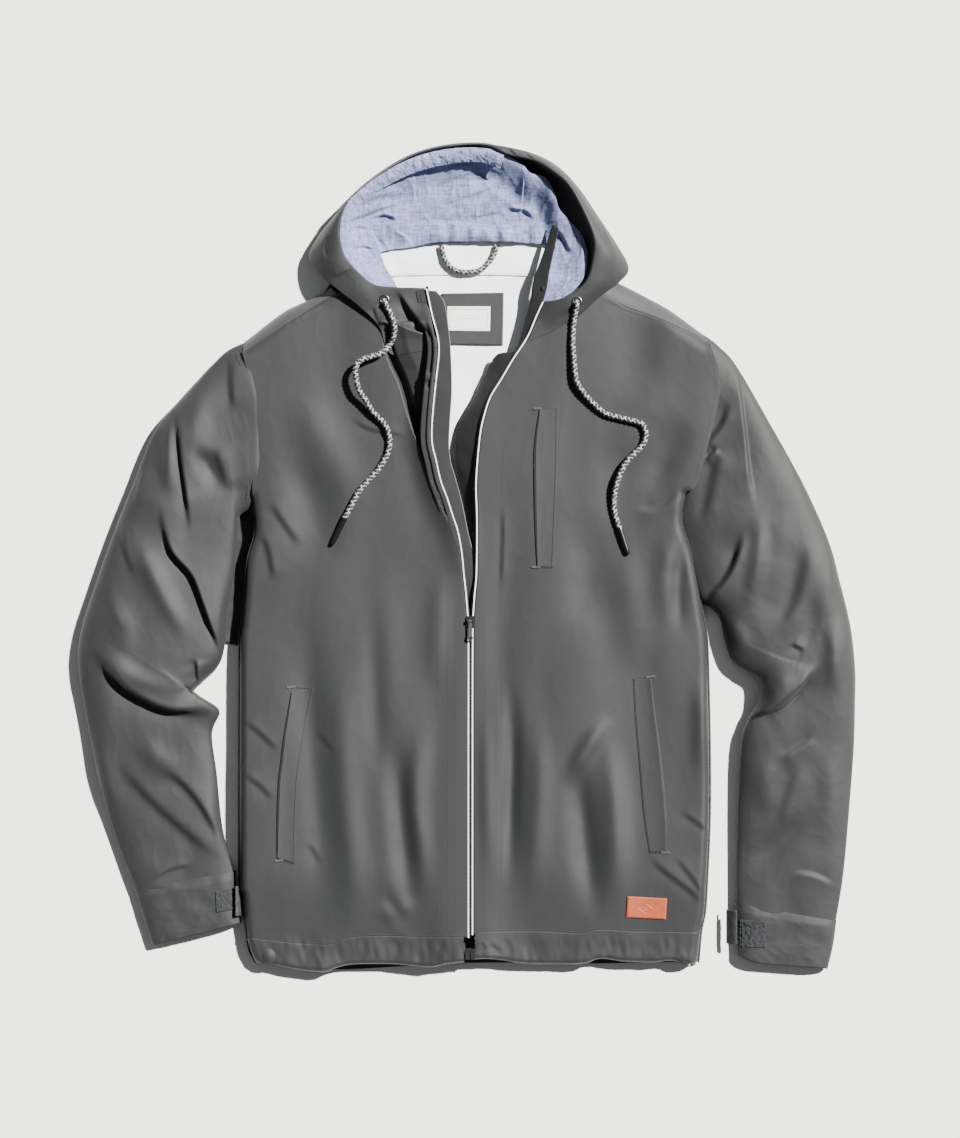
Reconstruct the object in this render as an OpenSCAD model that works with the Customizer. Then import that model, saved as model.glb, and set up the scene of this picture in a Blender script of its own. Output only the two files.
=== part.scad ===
// Hooded foul weather jacket, lying on its back with the zip half open.
// Millimetres. +Z is up from the floor, +Y runs from the hem to the hood, +X is
// towards the wearer's left. The origin is the middle of the jacket on the floor.

/* [Cloth] */
// Thickness of the shell fabric
shell_t = 1.2; // [0.8:0.1:1.2]
// Thickness of the lining fabric
lining_t = 0.8; // [0.5:0.1:0.8]

/* [Loft] */
// Height of the top of the front panels above the floor
front_top = 27.2; // [27.2:0.1:29]
// Height of the sleeves
sleeve_top = 28; // [24:1:30]
// Height of the cuffs
cuff_top = 20; // [18:1:24]
// Height of the hood
hood_top = 46; // [40:1:50]

/* [Zip] */
// Centre line of the front zip
zip_x = 4; // [3:0.5:5]
// Height of the slider when the jacket is half open
slider_y = -70; // [-90:1:-70]
// Lower end of the chain, above the retainer box
chain_foot = -418; // [-420:1:-412]

/* [Cords] */
// Diameter of the braided hood drawcord and of the hang loop
cord_d = 6; // [5:0.5:6]
// Diameter of the elastic hem cord
hem_cord_d = 3; // [2.5:0.5:3]
// Length of the moulded cord tips
tip_len = 29; // [24:1:29]

/* [Trim] */
// Length of the leather patch
patch_len = 42; // [30:1:44]
// Travel of the cord lock buttons
button_travel = 4; // [2:0.5:4]
// Width of a cuff tab along its cuff
tab_width = 32; // [24:1:32]

/* [Hidden] */

gap = 0.4;                      // air between neighbouring layers
overlap = 1;                    // how far a cutting tool passes the face it cuts
front_z = front_top - shell_t;  // underside of the front panels

// ---------- curves ----------

function reversed(p) = [for (i = [len(p) - 1:-1:0]) p[i]];

function blend_point(a, b, c, d, t) =
    0.5 * (2 * b + (c - a) * t + (2 * a - 5 * b + 4 * c - d) * t * t
           + (3 * b - a - 3 * c + d) * t * t * t);

// A smooth open curve through p, with n steps to each stretch.
function smooth(p, n = 3) = [
    for (i = [0:len(p) - 2], k = [0:n - 1])
        blend_point(p[max(i - 1, 0)], p[i], p[i + 1], p[min(i + 2, len(p) - 1)], k / n),
    p[len(p) - 1]
];

// The open curve p moved sideways by d, to the left of its direction.
function beside(p, d) = [
    for (i = [0:len(p) - 1])
        let (run = p[min(i + 1, len(p) - 1)] - p[max(i - 1, 0)])
            p[i] + d * [-run.y, run.x] / norm(run)
];

// A strip along p, between the sideways distances near and far.
function strip(p, near, far) = concat(beside(p, near), reversed(beside(p, far)));

// The part of the curve p whose y lies between low and high.
function between(p, low, high) = [for (q = p) if (q.y >= low && q.y <= high) q];

module plate(outline, z, t) translate([0, 0, z]) linear_extrude(t) polygon(outline);

// ---------- outlines, seen from above ----------

// Front edge above the slider, wearer's left and right, from the slider to the collar.
edge_left = smooth([[8, -60], [11, -40], [12, 0], [11, 60], [10, 100], [13, 140],
                    [21, 168], [44, 204], [62, 228], [76, 252], [84, 284]]);
edge_right = smooth([[0, -60], [-3, -30], [-6, 0], [-12, 28], [-22, 60], [-31, 92],
                     [-38, 130], [-36, 165], [-30, 205], [-33, 245], [-44, 284]]);

// Armholes, from the shoulder to the armpit.
armhole_left = smooth([[268, 224], [266, 180], [262, 130], [252, 95], [242, 60]]);
armhole_right = smooth([[-246, 222], [-236, 190], [-229, 150], [-227, 110], [-231, 60]]);

// Sides of the torso, from the armpit to the hem seam.
side_left = smooth([[240, 40], [246, -20], [253, -70], [258, -130], [260, -200],
                    [260, -290], [257, -345], [250, -402]]);
side_right = smooth([[-230, 40], [-235, -20], [-241, -80], [-244, -180], [-243, -280],
                     [-240, -340], [-234, -402]]);

// Seam between the front panels and the shoulder yoke, from the neck outwards.
yoke_seam_left = smooth([[152, 272], [200, 256], [262, 232]]);
yoke_seam_right = smooth([[-140, 274], [-195, 246], [-243, 226]]);
// Shoulder ridge, from the neck outwards.
shoulder_left = smooth([[168, 292], [205, 276], [240, 252], [262, 236]]);
shoulder_right = smooth([[-155, 288], [-180, 276], [-205, 258], [-246, 228]]);

// Neck seams of the two collars, from the zip to the shoulder.
neck_seam_left = smooth([[48, 197], [95, 213], [122, 252], [150, 278]]);
neck_seam_right = smooth([[-36, 230], [-88, 232], [-108, 258], [-138, 282]]);

// Hem seam and hem edge, from the wearer's right to the left.
hem_seam_right = smooth([[-234, -410], [-180, -413], [-110, -408], [zip_x - 6, -404]]);
hem_seam_left = smooth([[zip_x + 6, -403], [90, -403], [170, -401], [250, -402]]);
hem_edge_right = smooth([[-226, -434], [-160, -443], [-110, -438], [-50, -440], [zip_x - 6, -433]]);
hem_edge_left = smooth([[zip_x + 6, -432], [90, -437], [180, -434], [248, -436]]);

// Sleeves: the outer edge and the inner edge, both from the shoulder to the cuff seam.
sleeve_outer_left = smooth([[272, 224], [290, 203], [340, 116], [380, 38], [400, -25], [413, -90],
                            [417, -160], [413, -240], [405, -320], [398, -386]]);
sleeve_inner_left = smooth([[245, 58], [244, 40], [249, -10], [256, -60], [264, -80], [281, -115],
                            [305, -126], [311, -150], [298, -180], [292, -250], [290, -372]]);
sleeve_outer_right = smooth([[-250, 224], [-280, 197], [-332, 137], [-362, 68], [-390, 0],
                             [-410, -65], [-417, -115], [-409, -165], [-392, -245],
                             [-366, -325], [-355, -360]]);
sleeve_inner_right = smooth([[-235, 58], [-236, 40], [-248, 0], [-251, -40], [-258, -80], [-272, -118],
                             [-284, -140], [-265, -168], [-272, -200], [-263, -280], [-247, -338]]);

// Cuffs: outer and inner edges, from the cuff seam to the wrist.
cuff_outer_left = [[398, -388], [393, -420], [388, -443]];
cuff_inner_left = [[290, -374], [290, -402], [291, -428]];
cuff_outer_right = [[-355, -362], [-346, -390], [-337, -417]];
cuff_inner_right = [[-250, -340], [-249, -368], [-242, -393]];

// Hood rim and hood contour, from the wearer's right to the left.
fold_y = 336;     // where the hood folds at the back of the neck
hood_out = smooth([[-166, fold_y + 2], [-148, 365], [-120, 392], [-70, 424], [-28, 442],
                   [30, 443], [75, 436], [120, 400], [148, 358], [160, fold_y + 2]]);

// ---------- shell ----------

// The outline of the whole torso from the hem seam to the shoulders.
torso_outline = concat(
    [[zip_x, -404]], hem_seam_left, reversed(side_left), reversed(armhole_left),
    reversed(shoulder_left), [[110, 333], [-100, 333]],
    shoulder_right, armhole_right, side_right, hem_seam_right);

module back_panel() color("dimgray") plate(torso_outline, 0, shell_t);

// One shoulder of the yoke: the strip over the front and the wall down to the back.
module yoke_side(seam, ridge, turn) {
    plate(concat(seam, reversed(ridge)), front_z, shell_t);
    plate(strip(ridge, 0, turn * shell_t), shell_t + gap, front_top - shell_t - gap);
}

module shoulder_yoke() color("slategray") {
    yoke_side(beside(yoke_seam_left, 0.5), shoulder_left, -1);
    yoke_side(beside(yoke_seam_right, -0.5), shoulder_right, 1);
}

// A slit through everything, w wide along p.
module slit(p, w, z, t) plate(strip(p, -w / 2, w / 2), z, t);

slit_w = 6;
chest_slit = [[76, 152], [74, 70], [74, -6]];
hand_slit_left = [[198, -136], [206, -210], [214, -304]];
hand_slit_right = [[-189, -146], [-198, -225], [-202, -316]];

module front_panel(outline, slits) difference() {
    plate(outline, front_z, shell_t);
    for (s = slits) slit(s, slit_w, front_z - overlap, shell_t + 2 * overlap);
}

// The sides of the torso, standing between the back panel and the fronts.
module side_panel(side, turn)
    plate(strip(side, turn * 0.2, turn * (shell_t + 0.2)), shell_t + 0.2, front_z - shell_t - 0.4);
module side_panels() color("dimgray") {
    side_panel(side_left, -1);
    side_panel(side_right, 1);
}

module front_panel_left() color("dimgray")
    front_panel(
        concat([[zip_x + 5, slider_y + 8]],
               between(beside(edge_left, -3.5), slider_y + 14, 192), neck_seam_left,
               yoke_seam_left, armhole_left, side_left, reversed(hem_seam_left)),
        [chest_slit, hand_slit_left]);

module front_panel_right() color("dimgray")
    front_panel(
        concat([[zip_x - 5, slider_y + 8]],
               between(beside(edge_right, 3.5), slider_y + 14, 228), neck_seam_right,
               yoke_seam_right, armhole_right, side_right, hem_seam_right),
        [hand_slit_right]);

module hem_front(seam, edge) plate(concat(beside(seam, -gap), reversed(edge)), front_z, shell_t);
module hem_band_left() color("dimgray") hem_front(hem_seam_left, hem_edge_left);
module hem_band_right() color("dimgray") hem_front(hem_seam_right, hem_edge_right);
module hem_band_back() color("dimgray")
    plate(concat(beside(hem_seam_right, -gap), beside(hem_seam_left, -gap),
                 reversed(hem_edge_left), reversed(hem_edge_right)), 0, shell_t);

// ---------- hem drawcord and its locks ----------

hem_cord_y = -423;
hem_cord_z = [shell_t + gap + hem_cord_d / 2, 18.8];
lock_x = [-212, 232];           // wearer's right and left
lock_r = 6;
lock_len = 15;
lock_z = 13;
lock_gap = 0.5;

module rod(from, to, d) {
    run = to - from;
    translate(from) rotate([0, acos(run.z / norm(run)), atan2(run.y, run.x)])
        cylinder(h = norm(run), d = d, $fn = 24);
}

// The elastic runs along the front hem, turns at each side and comes back along the back hem.
module hem_drawcord() color("black") for (z = hem_cord_z)
    rod([lock_x[0] + 12, hem_cord_y, z], [lock_x[1] - 12, hem_cord_y, z], hem_cord_d);

// Barrel lock: a tube closed at its lower end, with a window for the cord.
module cord_lock(x) translate([x, hem_cord_y - 12, lock_z]) rotate([-90, 0, 0]) difference() {
    cylinder(h = lock_len, r = lock_r, $fn = 48);
    translate([0, 0, 2]) cylinder(h = lock_len, r = lock_r - 1.2, $fn = 48);
    translate([-lock_r - overlap, -2, 5]) cube([2 * lock_r + 2 * overlap, 4, 4]);
}

module cord_lock_left() color("black") cord_lock(lock_x[1]);
module cord_lock_right() color("black") cord_lock(lock_x[0]);

// Button: slides in the barrel along Y against its spring.
module cord_lock_button(x)
    translate([x, hem_cord_y - 12 + 2 + button_travel + lock_gap, lock_z]) rotate([-90, 0, 0]) {
        difference() {
            cylinder(h = lock_len - 2, r = lock_r - 1.6, $fn = 48);
            translate([-lock_r, -2.4, -overlap]) cube([2 * lock_r, 4.8, 5]);
        }
    }

module cord_lock_button_left() color("black") cord_lock_button(lock_x[1]);
module cord_lock_button_right() color("black") cord_lock_button(lock_x[0]);

// ---------- zip ----------

tape_z = 24;
tape_t = 0.8;
coil_t = 2.2;
piping_t = 1.8;
closed_top = slider_y + 8;      // where the closed chain ends inside the slider

// The two halves of the chain, from the foot up to the open edge; turn is -1 on the right.
function chain_line(edge, turn) =
    concat([[zip_x, chain_foot], [zip_x, closed_top]],
           [for (q = between(edge, closed_top + 1, 400)) q - [4 * turn, 0]]);
chain_left = chain_line(edge_left, 1);
chain_right = chain_line(edge_right, -1);

module along_chain(path, near, far, z, t) plate(strip(path, near, far), z, t);

module zip_tape_left() color("black") along_chain(chain_left, -1.3, -15, tape_z, tape_t);
module zip_tape_right() color("black") along_chain(chain_right, 1.3, 15, tape_z, tape_t);

// The piping is the pale edge of each tape.
module zip_piping() color("gainsboro") {
    along_chain(chain_left, -1.3, -3.3, tape_z + tape_t, piping_t);
    along_chain(chain_right, 1.3, 3.3, tape_z + tape_t, piping_t);
}

// Coil: a core under the tape with a row of teeth along the closed stretch.
pitch = 4;
module zip_coil(path, turn) {
    along_chain(path, -turn * 1.3, -turn * 3, tape_z - coil_t, coil_t);
    for (y = [chain_foot + pitch : pitch : closed_top - 2 * pitch])
        translate([zip_x + turn * 1.1 - 0.45, y, tape_z - coil_t + 0.3]) cube([0.9, pitch / 2, coil_t - 0.6]);
}
module zip_coil_left() color("black") zip_coil(chain_left, 1);
module zip_coil_right() color("black") zip_coil(chain_right, -1);

module zip_top_stops() color("darkgray") for (q = [[chain_left, -1], [chain_right, 1]]) {
    top = q[0][len(q[0]) - 1];
    translate([top.x - q[1] * 2.3 - 1.6, top.y + 0.3, tape_z - coil_t]) cube([3.2, 4, coil_t + tape_t + piping_t]);
}

// Retainer box and insertion pin at the foot of the zip.
module zip_retainer_box() color("darkslategray") {
    difference() {
        translate([zip_x - 5.4, chain_foot - 12.5, tape_z - coil_t - 1])
            cube([10.8, 12, coil_t + tape_t + piping_t + 1.6]);
        translate([zip_x - 0.5, chain_foot - 14, tape_z - coil_t - 2]) cube([1, 11, 8]);
    }
}

// Slider: two plates joined by the post that parts the chain, and two ears for the pull.
slider_len = 13;
slider_half = 4.4;
plate_low = 20.4;
plate_high = front_top - 0.3;
pin_z = plate_high + 3.1;
pin_y = slider_y + 1;
pin_r = 0.8;

module slider_plate(z) hull() for (y = [-1, 1], x = [-1, 1])
    translate([zip_x + x * (slider_half - 1.5), slider_y + y * (slider_len / 2 - 1.5), z])
        cylinder(h = 1.1, r = 1.5, $fn = 24);

module zip_slider() color("gray") {
    slider_plate(plate_low);
    slider_plate(plate_high);
    translate([zip_x - 0.35, slider_y + 2, plate_low + 0.5]) cube([0.7, 3.5, plate_high - plate_low + 0.2]);
    for (x = [-1, 1]) translate([zip_x + x * 2.6 - 0.5, pin_y - 1.6, plate_high + 0.8])
        cube([1, 3.2, pin_z - plate_high + 0.8]);
    rod([zip_x - 2.8, pin_y, pin_z], [zip_x + 2.8, pin_y, pin_z], 2 * pin_r);
}

// Pull: an eye that turns on the slider's pin, a flat shank and a moulded end.
pull_len = 22;
module zip_puller() color("dimgray") difference() {
    union() {
        translate([zip_x - 1.8, pin_y, pin_z]) rotate([0, 90, 0]) cylinder(h = 3.6, r = 1.7, $fn = 32);
        translate([zip_x - 1.8, pin_y - pull_len + 4, pin_z - 0.8]) cube([3.6, pull_len - 4, 1.6]);
        translate([zip_x, pin_y - pull_len + 4, pin_z - 0.8]) cylinder(h = 1.6, r = 3, $fn = 32);
    }
    translate([zip_x - 3, pin_y, pin_z]) rotate([0, 90, 0]) cylinder(h = 6, r = pin_r + 0.08, $fn = 32);
    translate([zip_x, pin_y - pull_len + 4, pin_z - 2]) cylinder(h = 4, r = 1.4, $fn = 32);
}

// ---------- plackets ----------

facing_z = 22.4;
module placket_facing_left() color("dimgray")
    plate(concat([[zip_x + 7, -400]], [[zip_x + 7, closed_top]],
                 between(beside(edge_left, -5), closed_top + 5, 190),
                 [[70, 196], [42, 150], [34, 90], [34, -400]]), facing_z, lining_t);
module placket_facing_right() color("dimgray")
    plate(concat([[zip_x - 7, -400]], [[zip_x - 7, closed_top]],
                 between(beside(edge_right, 5), closed_top + 5, 222),
                 [[-62, 222], [-60, 150], [-44, 80], [-30, 0], [-28, -400]]), facing_z, lining_t);

// Wind flap behind the zip, sewn to the right front.
flap_z = 18.6;
flap_edge = smooth([[12, -400], [12, -60], [10, -12], [-3, 45], [-16, 105], [-16, 180], [-20, 245], [-32, 282]]);
module storm_flap() color("dimgray")
    plate(concat(flap_edge, [[-50, 282], [-46, 200], [-48, 120], [-34, 50], [-22, -20], [-20, -400]]),
          flap_z, lining_t);

// ---------- pockets ----------

module welt(p, near, far) plate(strip(p, near, far), front_top + 0.1, lining_t);
module chest_pocket_welt() color("dimgray") welt([[76, 157], [74, 70], [74, -11]], slit_w / 2 + 0.5, 25);
module hand_pocket_welt_left() color("dimgray") welt([[197, -130], [206, -210], [215, -313]], -slit_w / 2 - 0.5, -22);
module hand_pocket_welt_right() color("dimgray") welt([[-188, -140], [-198, -225], [-203, -323]], slit_w / 2 + 0.5, 22);

// A flat bag under the front panel, open along its slit.
bag_low = 18;
bag_high = front_z - 0.4;
module pocket_bag(x, y, mouth) difference() {
    translate([x[0], y[0], bag_low]) cube([x[1] - x[0], y[1] - y[0], bag_high - bag_low]);
    translate([x[0] + lining_t, y[0] + lining_t, bag_low + lining_t])
        cube([x[1] - x[0] - 2 * lining_t, y[1] - y[0] - 2 * lining_t, bag_high - bag_low - 2 * lining_t]);
    slit(mouth, slit_w, bag_high - 2 * lining_t, 3 * lining_t);
}
module chest_pocket_bag() color("lightsteelblue") pocket_bag([66, 168], [-30, 158], chest_slit);
module hand_pocket_bag_left() color("lightsteelblue") pocket_bag([86, 224], [-345, -125], hand_slit_left);
module hand_pocket_bag_right() color("lightsteelblue") pocket_bag([-212, -76], [-350, -135], hand_slit_right);

// ---------- lining, label and hang loop ----------

module back_lining() color("honeydew") plate(concat(
    [[-222, -396], [242, -396], [248, -200], [244, -60], [232, 60], [248, 200], [190, 268], [105, 300]],
    [[-100, 300], [-180, 262], [-226, 200], [-221, 60], [-226, -60], [-234, -200]]),
    shell_t + gap, lining_t);

lining_z = 16.6;
module front_lining() color("honeydew") {
    plate([[36, -396], [240, -396], [244, -200], [238, -40], [226, 60], [246, 190], [190, 240],
           [110, 220], [60, 180], [38, 90]], lining_z, lining_t);
    plate([[-34, -396], [-222, -396], [-232, -200], [-224, -40], [-218, 60], [-222, 190], [-180, 240],
           [-110, 230], [-68, 180], [-60, 90]], lining_z, lining_t);
}

label_z = shell_t + 2 * gap + lining_t;
module neck_facing() color("white")
    plate([[-84, 303], [72, 303], [86, 332], [40, 335], [-50, 334], [-94, 328]], label_z, lining_t);
module neck_label() color("dimgray") plate([[-25, 227], [41, 227], [41, 284], [-25, 284]], label_z, lining_t);
module size_label() color("white")
    plate([[-23, 242], [26, 242], [26, 270], [-23, 270]], label_z + lining_t, 0.5);

// Braided loop sewn under the hood seam; its ends are the axis it flips about.
loop_half = 28;
loop_drop = 27;
loop_y = 334;
loop_z = label_z + lining_t + gap + cord_d / 2;
module hang_loop() color("gray") translate([2, loop_y, loop_z]) intersection() {
    rotate_extrude($fn = 72) translate([loop_half, 0]) circle(d = cord_d, $fn = 24);
    translate([-50, -50, -10]) cube([100, 50, 20]);
}

module leather_patch() color("peru")
    translate([192, -374.5, front_top]) rotate(-2) translate([-patch_len / 2, -11, 0]) cube([patch_len, 22, 1.6]);

// ---------- collars, eyelets and drawcord ----------

collar_z = 30;
eyelet_left_at = [118, 272];
eyelet_right_at = [-87, 273];
eyelet_hole = cord_d / 2 + 0.4;

collar_outline_left = concat(
    smooth([[92, 270], [108, 274], [122, 287], [134, 306], [138, fold_y - 1]]),
    smooth([[159, fold_y - 1], [173, 311], [165, 296], [142, 274], [118, 246], [98, 217], [76, 204]]),
    between(beside(edge_left, -4.5), 205, 266));
collar_outline_right = concat(
    between(beside(edge_right, 4.5), 236, 280),
    reversed(smooth([[-136, fold_y - 1], [-131, 318], [-119, 303], [-100, 290], [-60, 284]])),
    smooth([[-165, fold_y - 1], [-168, 318], [-157, 296], [-132, 282], [-106, 258], [-88, 236]]));
collar_wall_left = smooth([[158, fold_y - 1], [172, 311], [166, 298]]);
collar_wall_right = smooth([[-164, fold_y - 1], [-167, 318], [-158, 298]]);

module collar(outline, wall, turn, hole) {
    difference() {
        plate(outline, collar_z, shell_t);
        translate([hole.x, hole.y, collar_z - overlap]) cylinder(h = 4, r = eyelet_hole + 1.2, $fn = 48);
    }
    plate(strip(wall, 0, turn * shell_t), 0.2, collar_z);
}
module collar_left() color("dimgray") collar(collar_outline_left, collar_wall_left, -1, eyelet_left_at);
module collar_right() color("dimgray") collar(collar_outline_right, collar_wall_right, 1, eyelet_right_at);

// Metal eyelets: a rolled flange on each face and a barrel through the collar.
module eyelet(at) translate([at.x, at.y, collar_z]) rotate_extrude($fn = 60) union() {
    translate([eyelet_hole, -1]) square([1.1, shell_t + 2]);
    translate([eyelet_hole, shell_t + 0.1]) square([2.6, 0.9]);
    translate([eyelet_hole, -1]) square([2.6, 0.9]);
}
module drawcord_eyelets() color("slategray") {
    eyelet(eyelet_left_at);
    eyelet(eyelet_right_at);
}

// Hidden drawcord: from each eyelet through the collar to the hood seam.
channel_z = 20;
collar_route_left = [
    [118, 272, 30.2], [118, 272, 28.4], [118.5, 272.9, 25.7], [120, 275.2, 23.1], [123, 279.4, 21],
    [128, 287, channel_z], [134, 298, channel_z], [139, 308, channel_z], [143, 318, channel_z],
    [145, fold_y - 2, channel_z]];
collar_route_right = [
    [-87, 273, 30.2], [-87, 273, 28.4], [-87.9, 273.5, 25.7], [-90.3, 274.8, 23.1], [-95, 277.3, 21],
    [-106, 283.5, channel_z], [-120, 292, channel_z], [-131, 302, channel_z], [-140, 314, channel_z],
    [-147, fold_y - 2, channel_z]];

// Free ends of the drawcord, from the eyelets over the fronts to their tips.
lie_z = front_top + cord_d / 2 + 0.6;
drawcord_route_right = [
    [-87, 273, 30.5], [-87, 273, 33], [-86.4, 271, 35.8], [-84.6, 266.5, 37.3], [-81.5, 259, 36.8],
    [-77.5, 249, 35.5], [-76, 241, 35.2], [-77, 232, 35], [-81, 224, 34], [-88, 218, 31.6],
    [-97, 214, lie_z], [-107, 210, lie_z], [-114, 204, lie_z], [-118, 196, lie_z],
    [-118, 186, lie_z], [-115, 176, lie_z], [-109, 166, lie_z], [-102, 157, lie_z],
    [-94, 148, lie_z], [-87, 138, lie_z], [-83, 127, lie_z], [-83, 115, lie_z],
    [-87, 103, lie_z], [-94, 92, lie_z], [-103, 80, lie_z], [-112, 67, lie_z],
    [-121, 53, lie_z], [-130, 39, lie_z]];
drawcord_route_left = [
    [118, 272, 30.5], [118, 272, 33], [117.6, 269.8, 35.8], [116.6, 265, 37.3], [114.8, 256, 36.8],
    [113, 246, 35.6], [112, 237, 35], [112, 227, 33.4], [113, 217, 31.6], [115, 206, lie_z],
    [118, 195, lie_z], [122, 185, lie_z], [128, 175, lie_z], [136, 166, lie_z],
    [146, 157, lie_z], [157, 151, lie_z], [169, 147, lie_z], [180, 143, lie_z],
    [189, 136, lie_z], [192, 127, lie_z], [189, 117, lie_z], [181, 107, lie_z],
    [172, 97, lie_z], [164, 86, lie_z], [159, 74, lie_z], [157, 61, lie_z],
    [159, 49, lie_z], [164, 36, lie_z]];

function unit(v) = v / norm(v);
function heading(p, i) = unit(p[min(i + 1, len(p) - 1)] - p[max(i - 1, 0)]);
// One ring of the tube, square to the route.
function ring(p, i, r, sides) =
    let (d = heading(p, i), ref = abs(d.z) > 0.9 ? [1, 0, 0] : [0, 0, 1],
         across = unit(cross(d, ref)), up = cross(across, d))
        [for (k = [0:sides - 1]) p[i] + r * (across * cos(k * 360 / sides) + up * sin(k * 360 / sides))];

module swept_tube(p, d, sides = 8) {
    last = len(p) - 1;
    points = [for (i = [0:last]) for (q = ring(p, i, d / 2, sides)) q];
    faces = concat(
        [[for (k = [0:sides - 1]) k]],
        [for (i = [0:last - 1], k = [0:sides - 1])
            let (n = (k + 1) % sides)
                [i * sides + k, (i + 1) * sides + k, (i + 1) * sides + n, i * sides + n]],
        [[for (k = [sides - 1:-1:0]) last * sides + k]]);
    polyhedron(points = points, faces = faces);
}

module drawcord_left() color("silver") swept_tube(drawcord_route_left, cord_d);
module drawcord_right() color("silver") swept_tube(drawcord_route_right, cord_d);
module collar_drawcord() color("silver") {
    swept_tube(collar_route_left, cord_d);
    swept_tube(collar_route_right, cord_d);
}

// Moulded tip: a tapered sleeve that carries the cord's line on.
module cord_tip(p) {
    last = len(p) - 1;
    way = unit(p[last] - p[last - 1]);
    translate(p[last] + 0.05 * way) rotate([0, 90, atan2(way.y, way.x)]) {
        cylinder(h = tip_len - 4, r1 = cord_d / 2, r2 = cord_d / 2 - 0.5, $fn = 32);
        translate([0, 0, tip_len - 4]) cylinder(h = 4, r1 = cord_d / 2 - 0.5, r2 = cord_d / 2 - 1.2, $fn = 32);
    }
}
module cord_tip_left() color("black") cord_tip(drawcord_route_left);
module cord_tip_right() color("black") cord_tip(drawcord_route_right);

// ---------- sleeves and cuffs ----------

// A flat tube between an outer and an inner edge, open at both ends. turn is 1 on the
// wearer's left, where the outer edge has the larger x, and -1 on the right.
module flat_tube(outer, inner, turn, top, reach) {
    hollow_out = beside(outer, -turn * shell_t);
    hollow_in = beside(inner, turn * shell_t);
    first = reach * unit(outer[0] - outer[1]);
    last_out = len(outer) - 1;
    last_in = len(inner) - 1;
    difference() {
        plate(concat(outer, reversed(inner)), 0, top);
        plate(concat([hollow_out[0] + first, hollow_out[0]], hollow_out,
                     [hollow_out[last_out] + 4 * reach * unit(outer[last_out] - outer[last_out - 1]),
                      hollow_in[last_in] + 4 * reach * unit(inner[last_in] - inner[last_in - 1])],
                     reversed(hollow_in)), shell_t, top - 2 * shell_t);
    }
}

// The armhole end follows the torso's armhole, a little way outside it.
arm_gap = 2.2;
module sleeve_body(outer, inner, arm, turn) {
    difference() {
        flat_tube(outer, inner, turn, sleeve_top, 6);
        translate([0, 0, -overlap]) linear_extrude(sleeve_top + 2 * overlap)
            polygon(concat(beside(arm, turn * arm_gap), [[turn * 60, arm[len(arm) - 1].y], [turn * 60, 240],
                                                         [turn * 272, 240]]));
        plate(concat(beside(arm, turn * (arm_gap + 4)), [[turn * 60, arm[len(arm) - 1].y], [turn * 60, 200]]),
              shell_t, sleeve_top - 2 * shell_t);
    }
}
module sleeve_left() color("dimgray") sleeve_body(sleeve_outer_left, sleeve_inner_left, armhole_left, 1);
module sleeve_right() color("dimgray") sleeve_body(sleeve_outer_right, sleeve_inner_right, armhole_right, -1);

module cuff_left() color("dimgray") flat_tube(cuff_outer_left, cuff_inner_left, 1, cuff_top, 20);
module cuff_right() color("dimgray") flat_tube(cuff_outer_right, cuff_inner_right, -1, cuff_top, 20);

// Hook and loop: the soft patch on the cuff and the tab that closes onto it.
patch_t = 0.9;
tab_t = 1.6;
module loop_patch(corner, size, angle) translate([corner.x, corner.y, cuff_top]) rotate(angle)
    cube([size.x, size.y, patch_t]);
module loop_patch_left() color("darkslategray") loop_patch([291.5, -416], [29, 27], 0);
module loop_patch_right() color("darkslategray") loop_patch([-271, -384], [24, 23], 12);

// The tab is hinged along the cuff's inner edge. Open, it shows beside the cuff by its reach.
tab_z = cuff_top + patch_t + 0.3;
tab_reach_left = 11;
tab_reach_right = 7.6;
module cuff_tab_left() color("gray")
    translate([289.3 - tab_reach_left, -397 - tab_width / 2, tab_z]) cube([tab_reach_left, tab_width, tab_t]);
module cuff_tab_right() color("gray")
    translate([-247.4, -369 - tab_width / 2, tab_z]) cube([tab_reach_right, tab_width, tab_t]);

// ---------- hood ----------

// Seams of the three-panel hood.
seam_right_x = -52;
seam_left_x = 59;

// The hood's back on the floor and its wall up to the brim, between two seams.
module hood_part(low_x, high_x, inset, z, t, top) {
    line = [for (q = beside(hood_out, -inset))
        if (q.x >= low_x && q.x <= high_x && q.y > fold_y + 1.9) q];
    last = len(line) - 1;
    inner = beside(line, -t);
    plate(concat([[max(low_x, line[0].x), fold_y + 1.5]], line, [[min(high_x, line[last].x), fold_y + 1.5]]), z, t);
    plate(concat(line, reversed(inner)), z, top - z);
}
module hood_panel_right() color("dimgray") hood_part(-200, seam_right_x - 1, 0, 0, shell_t, hood_top - 4);
module hood_panel_centre() color("dimgray") hood_part(seam_right_x + 1, seam_left_x - 1, 0, 0, shell_t, hood_top - 4);
module hood_panel_left() color("dimgray") hood_part(seam_left_x + 1, 200, 0, 0, shell_t, hood_top - 4);
module hood_lining() color("lightsteelblue") hood_part(-200, 200, 9, shell_t + gap, lining_t, hood_top - 4.6);

// Brim: the channel round the opening that holds the drawcord.
module hood_brim() color("lightsteelblue")
    plate(strip(hood_out, -0.5, -11), hood_top - 3.6, 3.6);

module hood_drawcord() color("silver")
    swept_tube([for (q = beside(hood_out, -5)) if (q.y > fold_y + 4) [q.x, q.y, hood_top - 4.4 - cord_d / 2]],
               cord_d);

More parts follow.
